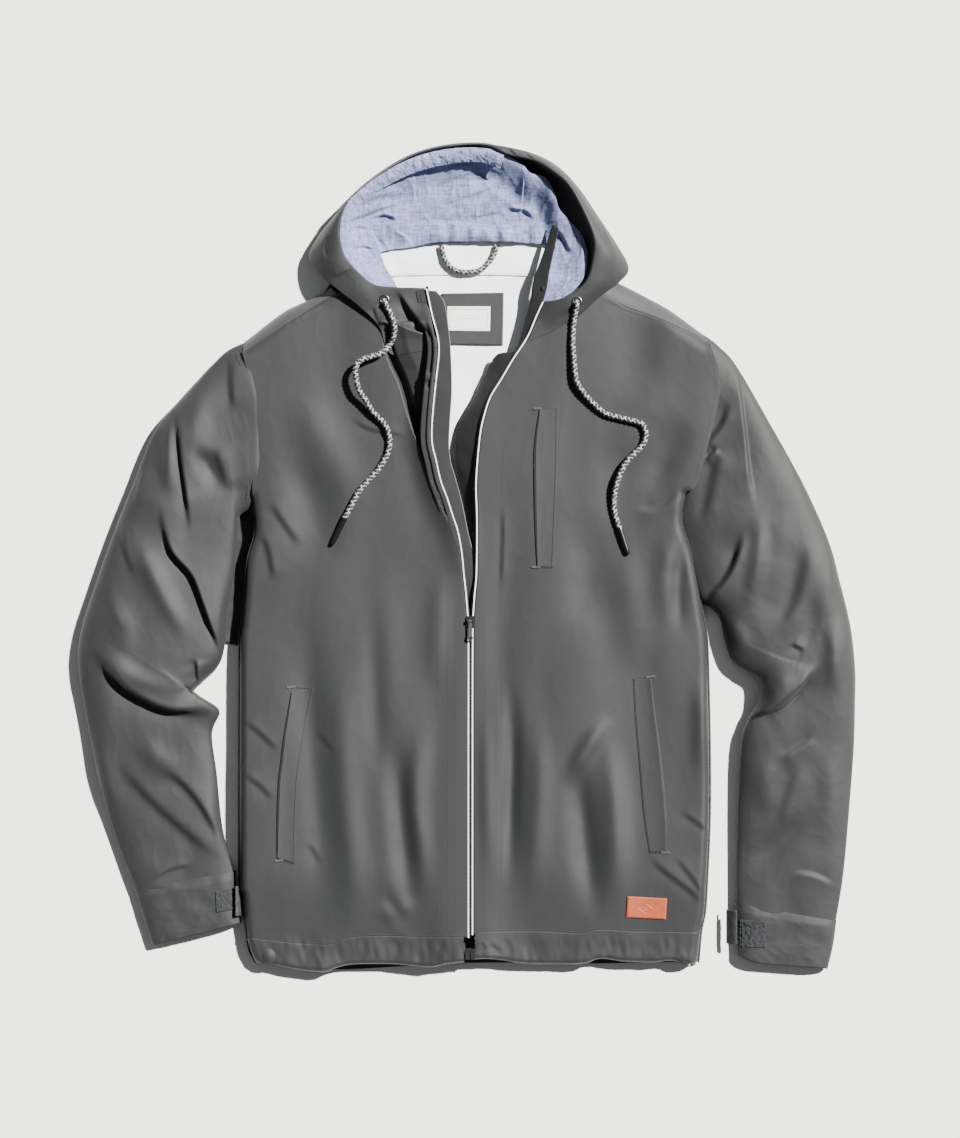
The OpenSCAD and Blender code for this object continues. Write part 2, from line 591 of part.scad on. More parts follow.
back_panel();
shoulder_yoke();
front_panel_left();
front_panel_right();
side_panels();
hem_band_left();
hem_band_right();
hem_band_back();
hem_drawcord();
cord_lock_left();
cord_lock_right();
cord_lock_button_left();
cord_lock_button_right();
placket_facing_left();
placket_facing_right();
storm_flap();
zip_tape_left();
zip_tape_right();
zip_coil_left();
zip_coil_right();
zip_piping();
zip_top_stops();
zip_retainer_box();
zip_slider();
zip_puller();
chest_pocket_welt();
chest_pocket_bag();
hand_pocket_welt_left();
hand_pocket_welt_right();
hand_pocket_bag_left();
hand_pocket_bag_right();
back_lining();
front_lining();
neck_facing();
neck_label();
size_label();
hang_loop();
leather_patch();
collar_left();
collar_right();
drawcord_eyelets();
collar_drawcord();
drawcord_left();
drawcord_right();
cord_tip_left();
cord_tip_right();
sleeve_left();
sleeve_right();
cuff_left();
cuff_right();
loop_patch_left();
loop_patch_right();
cuff_tab_left();
cuff_tab_right();
hood_panel_left();
hood_panel_centre();
hood_panel_right();
hood_lining();
hood_brim();
hood_drawcord();
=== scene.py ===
import math

import bpy
import numpy as np
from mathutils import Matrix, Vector


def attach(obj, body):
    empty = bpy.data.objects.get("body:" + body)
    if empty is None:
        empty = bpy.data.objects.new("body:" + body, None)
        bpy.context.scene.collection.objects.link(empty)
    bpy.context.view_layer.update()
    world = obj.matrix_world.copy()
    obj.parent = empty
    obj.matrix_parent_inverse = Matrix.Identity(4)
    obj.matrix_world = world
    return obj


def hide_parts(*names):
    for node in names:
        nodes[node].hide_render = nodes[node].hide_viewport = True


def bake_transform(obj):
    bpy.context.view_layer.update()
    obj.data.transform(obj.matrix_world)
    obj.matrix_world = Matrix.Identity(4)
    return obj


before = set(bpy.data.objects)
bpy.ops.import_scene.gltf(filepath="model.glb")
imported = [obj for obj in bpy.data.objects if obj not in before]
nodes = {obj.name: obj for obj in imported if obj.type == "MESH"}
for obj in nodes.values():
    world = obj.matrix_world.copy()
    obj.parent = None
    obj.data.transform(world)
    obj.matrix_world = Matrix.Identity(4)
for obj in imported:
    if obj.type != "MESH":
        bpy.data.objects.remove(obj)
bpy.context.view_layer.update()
MM = 0.001
CAMERA_HEIGHT = 2.895
FLOOR_SIZE = 8
SUN_STRENGTH = 17.0
SUN_DIRECTION = (-0.72, -0.56, -0.86)
SKY_STRENGTH = 0.17

# ---------- camera ----------

look_x, look_y = 14.4, -13.4
camera_data = bpy.data.cameras.new("camera")
camera_data.lens = 85
camera_data.sensor_width = 36
camera = bpy.data.objects.new("camera", camera_data)
camera.location = (look_x * MM, look_y * MM, CAMERA_HEIGHT)
bpy.context.scene.collection.objects.link(camera)
bpy.context.scene.camera = camera

# ---------- curves, in millimetres ----------


def arr(points):
    return np.array(points, float)


def dense(points, steps=8):
    """A smooth curve through points, as a fine polyline."""
    p = arr(points)
    if len(p) == 2:
        return np.linspace(p[0], p[1], steps + 1)
    q = np.vstack([2 * p[0] - p[1], p, 2 * p[-1] - p[-2]])
    t = np.linspace(0, 1, steps, endpoint=False)[:, None]
    parts = [
        0.5 * (2 * b + (c - a) * t + (2 * a - 5 * b + 4 * c - d) * t**2 + (3 * b - a - 3 * c + d) * t**3)
        for a, b, c, d in zip(q[:-3], q[1:-2], q[2:-1], q[3:])
    ]
    return np.vstack(parts + [p[-1:]])


def even(line, where):
    """Points on a polyline at these fractions of its length."""
    run = np.r_[0, np.cumsum(np.linalg.norm(np.diff(line, axis=0), axis=1))]
    return np.stack([np.interp(where * run[-1], run, line[:, k]) for k in range(line.shape[1])], 1)


def length_of(line):
    return float(np.linalg.norm(np.diff(line, axis=0), axis=1).sum())


def spaced(points, pitch):
    line = dense(points)
    n = max(3, int(round(length_of(line) / pitch)) + 1)
    return even(line, np.linspace(0, 1, n))


def beside(line, d):
    """A plan curve moved sideways by d, to the left of its direction."""
    run = np.gradient(line[:, :2], axis=0)
    run /= np.linalg.norm(run, axis=1)[:, None]
    out = line.copy()
    out[:, 0] -= run[:, 1] * d
    out[:, 1] += run[:, 0] * d
    return out


def coons(bottom, right, top, left, u, v):
    """Plan grid, rows by columns by 2, between four curves that meet at their corners."""
    B, T = [even(dense(c), u)[None] for c in (bottom, top)]
    L, R = [even(dense(c), v)[:, None] for c in (left, right)]
    U, V = u[None, :, None], v[:, None, None]
    corners = (1 - U) * ((1 - V) * B[:, :1] + V * T[:, :1]) + U * ((1 - V) * B[:, -1:] + V * T[:, -1:])
    return (1 - V) * B + V * T + (1 - U) * L + U * R - corners


def lattice(first, last, u, v):
    """Plan grid of straight rungs from one curve, u = 0, to the other."""
    A, B = even(dense(first), v)[:, None], even(dense(last), v)[:, None]
    return A + (B - A) * u[None, :, None]


def crowded(n, low=True, high=True, pull=0.75):
    """n fractions from 0 to 1, closer together towards the chosen ends."""
    t = np.linspace(0, 1, n)
    bent = t
    if low and high:
        bent = 0.5 - 0.5 * np.cos(math.pi * t)
    elif high:
        bent = np.sin(0.5 * math.pi * t)
    elif low:
        bent = 1 - np.cos(0.5 * math.pi * t)
    return (1 - pull) * t + pull * bent


# ---------- relief ----------


def step01(t):
    t = np.clip(t, 0, 1)
    return t * t * (3 - 2 * t)


def near(X, Y, line):
    """Distance to a polyline, the side (1 on its left), and how far along it, from 0 to 1."""
    p = arr(line)[:, :2]
    best = np.full(X.shape, 1e9)
    side = np.ones(X.shape)
    along = np.zeros(X.shape)
    sizes = np.linalg.norm(np.diff(p, axis=0), axis=1)
    total, run = sizes.sum(), 0.0
    for a, b, size in zip(p[:-1], p[1:], sizes):
        d = b - a
        t = np.clip(((X - a[0]) * d[0] + (Y - a[1]) * d[1]) / (size * size), 0, 1)
        ex, ey = X - a[0] - t * d[0], Y - a[1] - t * d[1]
        r = np.hypot(ex, ey)
        m = r < best
        best = np.where(m, r, best)
        side = np.where(m, np.where(d[0] * ey - d[1] * ex >= 0, 1.0, -1.0), side)
        along = np.where(m, (run + t * size) / total, along)
        run += size
    return best, side, along


def relief(X, Y, features):
    """Height added by creases and swells.

    ("crease", points, high, spread, low, spread, soft): the cloth stands high on the left of the
    line and low on its right. ("swell", points, height, width): a round ridge, or a valley.
    """
    Z = np.zeros(X.shape)
    for kind, points, *size in features:
        line = dense(points, 5) if len(points) > 2 else arr(points)
        reach = 3.2 * (size[1] if kind == "swell" else max(size[1], size[3])) + 2
        low, high = line.min(0) - reach, line.max(0) + reach
        m = (X > low[0]) & (X < high[0]) & (Y > low[1]) & (Y < high[1])
        if not m.any():
            continue
        r, side, along = near(X[m], Y[m], line)
        fade = step01(np.minimum(along, 1 - along) / (0.42 if kind == "swell" else 0.3)) * 0.97 + 0.03
        inside = (along > 0) & (along < 1)
        fade = np.where(inside, fade, 0.03 * np.exp(-r / 6))
        if kind == "swell":
            Z[m] += size[0] * fade * np.exp(-((r / size[1]) ** 2))
        else:
            soft = size[4] if len(size) > 4 else 0.9
            s = side * r
            k = 0.5 + 0.5 * np.tanh(s / (soft * (2.2 - 1.2 * fade)))
            Z[m] += fade * (k * size[0] * np.exp(-r / size[1]) + (1 - k) * size[2] * np.exp(-r / size[3]))
    return Z


def ripples(X, Y, scale, seed, stretch=1.0, count=7):
    """Smooth random waves, about -1 to 1. stretch lengthens them along Y."""
    r = np.random.default_rng(seed)
    out = np.zeros(X.shape)
    for _ in range(count):
        turn, f = r.uniform(0, 2 * math.pi), 2 * math.pi / scale * r.uniform(0.6, 1.5)
        a, b, w = r.uniform(0, 2 * math.pi, 3)
        across = X * math.cos(turn) + Y * math.sin(turn) / stretch
        other = -X * math.sin(turn) + Y * math.cos(turn) / stretch
        out += np.sin(f * across + a + 1.4 * np.sin(0.53 * f * other + b) + w)
    return out / math.sqrt(count)


def crinkle(X, Y, scale, seed, stretch=1.0):
    """Random waves with narrow crests, as in cloth that has been folded."""
    n = ripples(X, Y, scale, seed, stretch, 5)
    return 1 - 2 * np.abs(np.tanh(1.4 * n))


# ---------- meshes ----------


def grid_faces(rows, cols, wrap=False, base=0):
    i, j = np.meshgrid(np.arange(rows - 1), np.arange(cols if wrap else cols - 1), indexing="ij")
    k = (j + 1) % cols
    return (base + np.stack([i * cols + j, i * cols + k, (i + 1) * cols + k, (i + 1) * cols + j], -1)).reshape(-1, 4)


def piece(name, verts, faces, material, slot, body=None, replaces=(), smooth=True, groups=None):
    """A mesh object from points in millimetres. groups gives each face's material."""
    verts = np.asarray(verts, float).reshape(-1, 3) * MM
    faces = np.asarray(faces, np.int32)
    mesh = bpy.data.meshes.new(name)
    mesh.vertices.add(len(verts))
    mesh.vertices.foreach_set("co", verts.ravel())
    mesh.loops.add(faces.size)
    mesh.loops.foreach_set("vertex_index", faces.ravel())
    mesh.polygons.add(len(faces))
    mesh.polygons.foreach_set("loop_start", np.arange(0, faces.size, faces.shape[1], dtype=np.int32))
    mesh.polygons.foreach_set("use_smooth", np.full(len(faces), smooth))
    for m in material if isinstance(material, (list, tuple)) else [material]:
        mesh.materials.append(m)
    if groups is not None:
        mesh.polygons.foreach_set("material_index", np.asarray(groups, np.int32))
    mesh.update(calc_edges=True)
    mesh.validate()
    obj = bpy.data.objects.new(name, mesh)
    bpy.context.scene.collection.objects.link(obj)
    if body:
        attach(obj, body)
    if replaces:
        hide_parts(*replaces)
    return obj


def closed_sheet(P, thickness):
    """Points and faces of a closed sheet whose upper side is the grid P."""
    N = np.cross(np.gradient(P, axis=1), np.gradient(P, axis=0))
    if N[..., 2].mean() < 0:
        P = P[:, ::-1]
        N = np.cross(np.gradient(P, axis=1), np.gradient(P, axis=0))
    N /= np.linalg.norm(N, axis=2)[..., None] + 1e-9
    under = P - N * thickness
    under[..., 2] = np.maximum(under[..., 2], 0.15)
    rows, cols = P.shape[:2]
    n = rows * cols
    top = grid_faces(rows, cols)
    low = grid_faces(rows, cols, base=n)[:, ::-1]
    ring = np.r_[
        np.arange(cols), np.arange(1, rows) * cols + cols - 1,
        (rows - 1) * cols + np.arange(cols - 2, -1, -1), np.arange(rows - 2, 0, -1) * cols,
    ]
    nxt = np.roll(ring, -1)
    wall = np.stack([nxt, ring, ring + n, nxt + n], 1)
    return np.vstack([P.reshape(-1, 3), under.reshape(-1, 3)]), np.vstack([top, low, wall])


def surface(name, P, thickness, material, slot, body="torso", replaces=()):
    return piece(name, *closed_sheet(P, thickness), material, slot, body, replaces)


def cloth(name, plan, height, thickness, material, slot, body="torso", replaces=()):
    return surface(name, np.dstack([plan, height]), thickness, material, slot, body, replaces)


def hood_cloth(name, P, thickness, material, slot, replaces=()):
    """Cloth that lies on the torso at the neck and turns with the hood above it."""
    obj = surface(name, P, thickness, material, slot, None, replaces)
    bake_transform(obj)


def frames_along(line):
    """Tangent and two square directions at each point, without twist."""
    T = np.gradient(line, axis=0)
    T /= np.linalg.norm(T, axis=1)[:, None]
    U = np.zeros_like(T)
    start = np.array([0, 0, 1.0]) if abs(T[0, 2]) < 0.9 else np.array([1.0, 0, 0])
    U[0] = np.cross(T[0], start)
    for i in range(1, len(T)):
        U[i] = U[i - 1] - T[i] * (U[i - 1] @ T[i])
        U[i] /= np.linalg.norm(U[i])
    U[0] /= np.linalg.norm(U[0])
    return T, U, np.cross(T, U)


def tube(line, radius, sides=10, squash=1.0, frames=None):
    """Points and faces of a closed tube along line."""
    T, U, W = frames or frames_along(line)
    radius = np.broadcast_to(np.asarray(radius, float), (len(line),))
    a = np.linspace(0, 2 * math.pi, sides, endpoint=False)
    ring = np.cos(a)[None, :, None] * U[:, None] + squash * np.sin(a)[None, :, None] * W[:, None]
    P = line[:, None] + ring * radius[:, None, None]
    faces = grid_faces(len(line), sides, wrap=True)
    verts = np.vstack([P.reshape(-1, 3), line[:1] - T[:1] * 0.3 * radius[0], line[-1:] + T[-1:] * 0.3 * radius[-1]])
    n = len(line) * sides
    k = np.arange(sides)
    first = np.stack([np.full(sides, n), (k + 1) % sides, k, k], 1)
    last = np.stack([np.full(sides, n + 1),
        n - sides + k, n - sides + (k + 1) % sides, n - sides + (k + 1) % sides], 1)
    return verts, faces, np.vstack([first, last])[:, :3]


def join(parts):
    """One set of points and faces from several; triangles repeat their last corner."""
    verts, faces, count = [], [], 0
    for v, quads, tris in parts:
        verts.append(v)
        faces.append(np.asarray(quads) + count)
        if len(tris):
            faces.append(np.hstack([tris, tris[:, 2:]]) + count)
        count += len(v)
    return np.vstack(verts), np.vstack(faces)


def joined(name, parts, material, slot, body="torso", replaces=()):
    return piece(name, *join(parts), material, slot, body, replaces)


def tube_piece(name, line, radius, material, slot, body, replaces=(), sides=10, squash=1.0):
    return joined(name, [tube(arr(line), radius, sides, squash)], material, slot, body, replaces)


def stitches(name, lines, height, material, slot, body="torso", pitch=3.4, long=2.3, wide=0.55, lift=0.1):
    """Rows of short thread loops along plan curves, lying on the surface height(x, y)."""
    parts = []
    for points in lines:
        line = spaced(points, pitch)
        mid = 0.5 * (line[:-1] + line[1:])
        run = np.diff(line, axis=0)
        run /= np.linalg.norm(run, axis=1)[:, None]
        for t, z, cut in ((-0.5, -0.35, 0.25), (-0.28, 0.12, 1), (0.28, 0.12, 1), (0.5, -0.35, 0.25)):
            parts.append((mid, run, t, z, cut))
    verts, faces, count = [], [], 0
    for k in range(0, len(parts), 4):
        rings = []
        for mid, run, t, z, cut in parts[k:k + 4]:
            c = mid + run * (t * long)
            h = height(c[:, 0], c[:, 1]) + lift + z * wide
            side = np.stack([-run[:, 1], run[:, 0]], 1)
            ring = []
            for a in np.linspace(0, 2 * math.pi, 6, endpoint=False):
                xy = c + side * (math.cos(a) * wide * 0.5 * cut)
                ring.append(np.column_stack([xy, h + math.sin(a) * wide * 0.5 * cut]))
            rings.append(np.stack(ring, 1))
        P = np.stack(rings, 1)
        n = len(P)
        verts.append(P.reshape(-1, 3))
        one = grid_faces(4, 6, wrap=True)
        ends = np.array([[0, 5, 4, 3], [0, 3, 2, 1], [18, 19, 20, 21], [18, 21, 22, 23]])
        one = np.vstack([one, ends])
        faces.append((one[None] + np.arange(n)[:, None, None] * 24).reshape(-1, 4) + count)
        count += n * 24
    return piece(name, np.vstack(verts), np.vstack(faces), material, slot, body)


# ---------- materials ----------


class Nodes:
    def __init__(self, name):
        self.m = bpy.data.materials.new(name)
        self.m.use_nodes = True
        self.t = self.m.node_tree
        self.t.nodes.clear()
        self.out = self.t.nodes.new("ShaderNodeOutputMaterial")
        self.p = self.t.nodes.new("ShaderNodeBsdfPrincipled")
        self.t.links.new(self.p.outputs[0], self.out.inputs[0])
        self.coord = self.t.nodes.new("ShaderNodeTexCoord").outputs["Object"]

    def link(self, a, b):
        self.t.links.new(a, b)

    def mapped(self, scale):
        n = self.t.nodes.new("ShaderNodeMapping")
        n.inputs["Scale"].default_value = scale
        self.link(self.coord, n.inputs["Vector"])
        return n.outputs[0]

    def noise(self, scale, vector=None, detail=3.0, rough=0.55):
        n = self.t.nodes.new("ShaderNodeTexNoise")
        n.inputs["Scale"].default_value = scale
        n.inputs["Detail"].default_value = detail
        n.inputs["Roughness"].default_value = rough
        self.link(vector or self.coord, n.inputs["Vector"])
        return n.outputs[0]

    def wave(self, scale, axis, distort=0.0):
        n = self.t.nodes.new("ShaderNodeTexWave")
        n.bands_direction = axis
        n.inputs["Scale"].default_value = scale
        n.inputs["Distortion"].default_value = distort
        self.link(self.coord, n.inputs["Vector"])
        return n.outputs["Fac"]

    def math(self, op, a, b):
        n = self.t.nodes.new("ShaderNodeMath")
        n.operation = op
        for k, x in enumerate((a, b)):
            if isinstance(x, (int, float)):
                n.inputs[k].default_value = x
            else:
                self.link(x, n.inputs[k])
        return n.outputs[0]

    def ramp(self, fac, stops):
        n = self.t.nodes.new("ShaderNodeValToRGB")
        while len(n.color_ramp.elements) < len(stops):
            n.color_ramp.elements.new(0.5)
        for e, (pos, col) in zip(n.color_ramp.elements, stops):
            e.position = pos
            e.color = (*col, 1)
        self.link(fac, n.inputs[0])
        return n.outputs[0]

    def bump(self, height, strength, distance):
        n = self.t.nodes.new("ShaderNodeBump")
        n.inputs["Strength"].default_value = strength
        n.inputs["Distance"].default_value = distance
        self.link(height, n.inputs["Height"])
        self.link(n.outputs[0], self.p.inputs["Normal"])

    def set(self, **values):
        for k, v in values.items():
            self.p.inputs[k.replace("_", " ")].default_value = v


def lin(hexa):
    c = [int(hexa[i:i + 2], 16) / 255 for i in (0, 2, 4)]
    return tuple(x / 12.92 if x <= 0.04045 else ((x + 0.055) / 1.055) ** 2.4 for x in c)


def tint(c, k):
    return tuple(min(1.0, x * k) for x in c)


def woven(name, colour, spread=0.1, rough=0.6, grain=1500.0, streak=(1.0, 0.12, 1.0), bump=0.2, sheen=0.05):
    """Fine plain weave with slubs, a little sheen and slow changes of colour."""
    n = Nodes(name)
    slub = n.noise(grain * 0.5, n.mapped(streak), 4.0, 0.6)
    cross = n.noise(grain * 0.5, n.mapped((streak[1], streak[0], 1.0)), 4.0, 0.6)
    slow = n.noise(9.0, None, 2.0)
    mixed = n.math("ADD", n.math("MULTIPLY", n.math("ADD", slub, cross), 0.35), n.math("MULTIPLY", slow, 0.3))
    n.link(
        n.ramp(mixed, [(0.3, tint(colour, 1 - spread)), (0.5, colour), (0.7, tint(colour, 1 + spread))]),
        n.p.inputs["Base Color"],
    )
    threads = n.math("ADD", n.wave(grain * 0.5, "X"), n.wave(grain * 0.5, "Y"))
    n.bump(n.math("ADD", threads, n.math("MULTIPLY", slub, 1.5)), bump, 0.0002)
    n.set(Roughness=rough, Sheen_Weight=sheen, Sheen_Roughness=0.5)
    n.p.inputs["Specular IOR Level"].default_value = 0.34
    return n.m


def chambray(name, light, dark):
    """Heathered cloth: pale and dark threads crossing at random."""
    n = Nodes(name)
    along = n.noise(420.0, n.mapped((1.0, 0.10, 1.0)), 5.0, 0.7)
    across = n.noise(420.0, n.mapped((0.10, 1.0, 1.0)), 5.0, 0.7)
    blotch = n.noise(60.0, None, 3.0)
    f = n.math("ADD", n.math("MULTIPLY", n.math("ADD", along, across), 0.42), n.math("MULTIPLY", blotch, 0.16))
    mid = tuple(0.5 * (a + b) for a, b in zip(light, dark))
    n.link(n.ramp(f, [(0.38, dark), (0.5, mid), (0.62, light)]), n.p.inputs["Base Color"])
    n.bump(n.math("ADD", n.wave(700.0, "X"), n.wave(700.0, "Y")), 0.3, 0.0002)
    n.set(Roughness=0.85, Sheen_Weight=0.15)
    return n.m


def plain(name, colour, rough=0.5, metal=0.0, mottle=0.06, scale=300.0, bump=0.1, coat=0.0):
    n = Nodes(name)
    f = n.noise(scale, None, 4.0)
    n.link(n.ramp(f, [(0.3, tint(colour, 1 - mottle)), (0.7, tint(colour, 1 + mottle))]), n.p.inputs["Base Color"])
    n.bump(f, bump, 0.0002)
    n.set(Roughness=rough, Metallic=metal, Coat_Weight=coat)
    return n.m


def leather_material(name, colour):
    n = Nodes(name)
    v = n.t.nodes.new("ShaderNodeTexVoronoi")
    v.inputs["Scale"].default_value = 900.0
    n.link(n.coord, v.inputs["Vector"])
    blotch = n.noise(90.0, None, 4.0, 0.6)
    n.link(
        n.ramp(blotch, [(0.3, tint(colour, 0.8)), (0.55, colour), (0.75, tint(colour, 1.15))]),
        n.p.inputs["Base Color"],
    )
    n.bump(n.math("ADD", v.outputs[0], blotch), 0.35, 0.0003)
    n.set(Roughness=0.55)
    return n.m


SHELL = lin("212223")
shell_mat = woven("shell_cloth", SHELL, 0.07)
# yoke cloth lighter than the shell: painted light, for the extra light its slope catches
yoke_lit_mat = woven("yoke_cloth_painted_light", lin("303335"), 0.07)
# near-black facing cloth: painted shade, much darker than the shell so that the storm flap and the facing strips read
# as lying in shadow
facing_shade_mat = woven("facing_cloth_painted_shade", lin("111213"), 0.08, 0.8)
thread_mat = woven("thread", tint(SHELL, 1.9), 0.1)
pale_thread_mat = woven("pale_thread", lin("55585a"), 0.1)
white_thread_mat = woven("white_thread", lin("c9d0d0"), 0.05)
chambray_mat = chambray("chambray_cloth", lin("8f98ba"), lin("434a76"))
white_mat = woven("white_lining_cloth", lin("f2f8f8"), 0.02, 0.75, bump=0.12)
label_mat = woven("label_cloth", lin("2a2b2c"), 0.12, grain=900.0)
label_white_mat = woven("label_white_cloth", lin("ecece8"), 0.03, 0.5, grain=1200.0)
tape_mat = woven("zip_tape_cloth", lin("1c1d1f"), 0.2, grain=1200.0)
coil_mat = plain("coil_plastic", lin("141516"), 0.4)
piping_mat = plain("piping_plastic", lin("e6e6e2"), 0.4, mottle=0.03)
metal_mat = plain("gunmetal", lin("56595e"), 0.32, 1.0, 0.12, 800.0)
pull_mat = plain("pull_rubber", lin("2b2c2e"), 0.6)
tip_mat = plain("tip_plastic", lin("0c0c0d"), 0.28, coat=0.3)
cord_black_mat = woven("cord_black", lin("111112"), 0.2)
cord_white_mat = woven("cord_white", lin("989994"), 0.08)
cord_grey_mat = woven("cord_grey", lin("3a3b3c"), 0.1)
loop_mat = woven("loop_pile", lin("26292a"), 0.5, 0.95, grain=500.0, streak=(1.0, 1.0, 1.0), bump=0.9)
tab_mat = woven("tab_cloth", lin("262829"), 0.12)
edge_mat = woven("flap_edge_cloth", lin("606264"), 0.12)
leather_mat = leather_material("tan_leather", lin("984526"))
floor_mat = plain("floor_paint", lin("f6f6f3"), 0.9, mottle=0.004, scale=3.0, bump=0.0)

# ---------- outlines, in millimetres, seen from above; photo-left is the wearer's right ----------

ZIP_X = 4.0
edge_right_front = [
    (0.3, -407), (0.3, -240), (0.3, -90), (-1.5, -49), (-4.5, -19), (-7, 6), (-11, 27), (-16, 42), (-22, 61),
    (-29, 80), (-34, 102), (-38, 119), (-38.5, 136), (-37, 157), (-34, 187), (-31, 215), (-32, 233), (-38, 256),
    (-44, 284),
]
edge_left_front = [
    (7.7, -404), (7.7, -240), (7.9, -90), (9.5, -47), (12, -17), (12.5, 39), (11.5, 75), (13.5, 107), (16.5, 134),
    (21, 153), (27, 170), (38, 188), (51, 210), (66, 233), (76, 256), (83, 271),
]
side_right = [(-229, 62), (-226, 28), (-234, -3), (-237, -38), (-241, -75), (-243, -110), (-243, -340), (-240, -362),
    (-236, -403), (-233, -422), (-226, -436)]
side_left = [(234, 66), (230, 38), (236, 16), (241, -2), (248, -34), (252, -59), (256, -81), (258, -111), (260, -200),
    (260, -280), (257, -351), (255, -381), (251, -402), (248, -436)]
armhole_right = [(-229, 62), (-228, 107), (-228, 156), (-232, 185), (-240, 219)]
armhole_left = [(234, 66), (245, 75), (256, 112), (268, 160), (270, 195), (259, 230)]
ridge_right = [(-240, 230), (-200, 261), (-179, 272), (-158, 281), (-146, 290)]
ridge_left = [(259, 236), (250, 242), (220, 264), (197, 277), (180, 286), (160, 296)]
yoke_seam_right = [(-240, 219), (-200, 244), (-174, 256), (-149, 270), (-139, 281)]
yoke_seam_left = [(259, 228), (228, 245), (197, 257), (168, 267), (142, 279)]
hem_seam_right = [(-236, -409), (-180, -415), (-147, -416), (-133, -410), (-100, -407), (-40, -408), (0.3, -407)]
hem_seam_left = [(7.7, -404), (20, -402), (80, -402), (120, -404), (141, -400), (183, -402), (251, -403)]
hem_edge_right = [(-227, -435), (-210, -437), (-180, -443), (-152, -445), (-140, -441), (-120, -437), (-77, -437),
    (-40, -440), (-20, -436), (0.3, -434)]
hem_edge_left = [(7.7, -431), (29, -431), (60, -436), (99, -437), (127, -436), (143, -431), (169, -434), (199, -435),
    (220, -433), (240, -437), (248, -435)]

# ---------- folds of the body ----------

body_folds = [
    # photo-left front
    ("swell", [(-77, -180), (-70, -260), (-64, -330), (-60, -400)], -3.0, 13),
    ("swell", [(-38, -170), (-56, -250), (-50, -320), (-44, -370)], 1.8, 12),
    ("swell", [(-135, -90), (-130, -230), (-122, -330), (-118, -420)], 2.2, 16),
    ("swell", [(-165, -40), (-168, -150), (-158, -300), (-160, -400)], -1.4, 14),
    ("swell", [(-100, -30), (-98, -150), (-92, -260)], -1.2, 12),
    ("crease", [(-240, -174), (-222, -188), (-200, -209)], 1.5, 9, -1.2, 6, 2.6),
    ("crease", [(-240, -232), (-222, -244), (-205, -262)], 1.4, 9, -1.2, 6, 2.6),
    ("crease", [(-161, -185), (-150, -199), (-138, -211)], 1.0, 7, -0.8, 5, 2.6),
    ("crease", [(-170, -304), (-162, -318), (-154, -330)], 1.0, 7, -0.8, 5, 2.6),
    ("swell", [(-58, -362), (-70, -378), (-92, -390)], 1.0, 9),
    ("swell", [(-88, -352), (-80, -372), (-62, -398)], -0.9, 8),
    ("crease", [(-128, 150), (-104, 136), (-74, 130), (-60, 128)], 0.9, 10, -0.8, 7, 2.0),
    ("crease", [(-212, 60), (-196, 36), (-176, 8)], 1.6, 14, -1.2, 9, 3.0),
    ("crease", [(-222, 30), (-212, 6), (-206, -30)], 1.8, 12, -1.2, 8, 3.0),
    ("swell", [(-190, 180), (-150, 120), (-120, 40)], 1.6, 22),
    ("swell", [(-200, 120), (-165, 60), (-150, -20)], -1.3, 20),
    ("swell", [(-22, 0), (-30, -60), (-34, -150)], 1.0, 12),
    # photo-right front
    ("swell", [(46, -120), (49, -200), (47, -280), (45, -360)], -2.6, 9),
    ("swell", [(74, -150), (78, -240), (72, -330), (68, -385)], 1.8, 13),
    ("swell", [(112, -200), (122, -260), (130, -330), (138, -400)], -3.0, 13),
    ("swell", [(150, -180), (158, -260), (160, -330), (155, -390)], 2.4, 13),
    ("swell", [(160, -173), (141, -186), (122, -216), (104, -250)], 2.0, 9),
    ("swell", [(20, -150), (22, -250), (24, -350)], 0.9, 8),
    ("crease", [(195, -316), (206, -332), (239, -358), (256, -376)], 1.6, 9, -1.2, 6, 2.6),
    ("crease", [(220, -318), (241, -344), (256, -368)], 1.2, 7, -1.0, 5, 2.6),
    ("crease", [(227, -272), (248, -286), (260, -297)], 1.2, 7, -1.0, 5, 2.6),
    ("crease", [(16, -410), (19, -416), (22, -421)], 0.8, 4, -0.8, 4, 2.6),
    ("crease", [(24, -412), (31, -417), (38, -423)], 0.8, 4, -0.8, 4, 2.6),
    ("swell", [(250, -120), (251, -180), (250, -240)], 1.5, 9),
    ("swell", [(230, 40), (215, -10), (212, -80)], 1.8, 16),
    ("swell", [(238, 30), (226, -20), (228, -90)], -1.8, 9),
    ("swell", [(120, 60), (128, 0), (120, -90)], -1.5, 20),
    ("swell", [(160, 20), (178, -60), (170, -130)], 1.6, 22),
    ("crease", [(38, 60), (38, 19), (36, -43)], 1.4, 9, -1.2, 3, 2.6),
    ("crease", [(228, 70), (214, 56), (196, 50), (178, 50)], 1.6, 12, -1.2, 9, 3.0),
    ("swell", [(210, 200), (180, 140), (160, 90)], 1.5, 24),
    ("swell", [(236, 150), (210, 100), (196, 60)], -1.4, 16),
]
seam_lines = [
    ("crease", yoke_seam_right, 0.9, 5, -0.5, 3, 0.6),
    ("crease", yoke_seam_left[::-1], 0.9, 5, -0.5, 3, 0.6),
]

HIGH = 26.4  # the upper side of the torso above the floor


def side_foot(Y):
    """Height at which the front folds over at the sides; more under the arms."""
    return np.interp(Y, [-435, -400, -70, 0], [9, 13, 14, 20])


lapel_edge = [(-90, 240), (-84, 212), (-72, 185), (-62, 151), (-51, 119), (-40, 91), (-30, 61), (-19, 38), (-9, 14)]


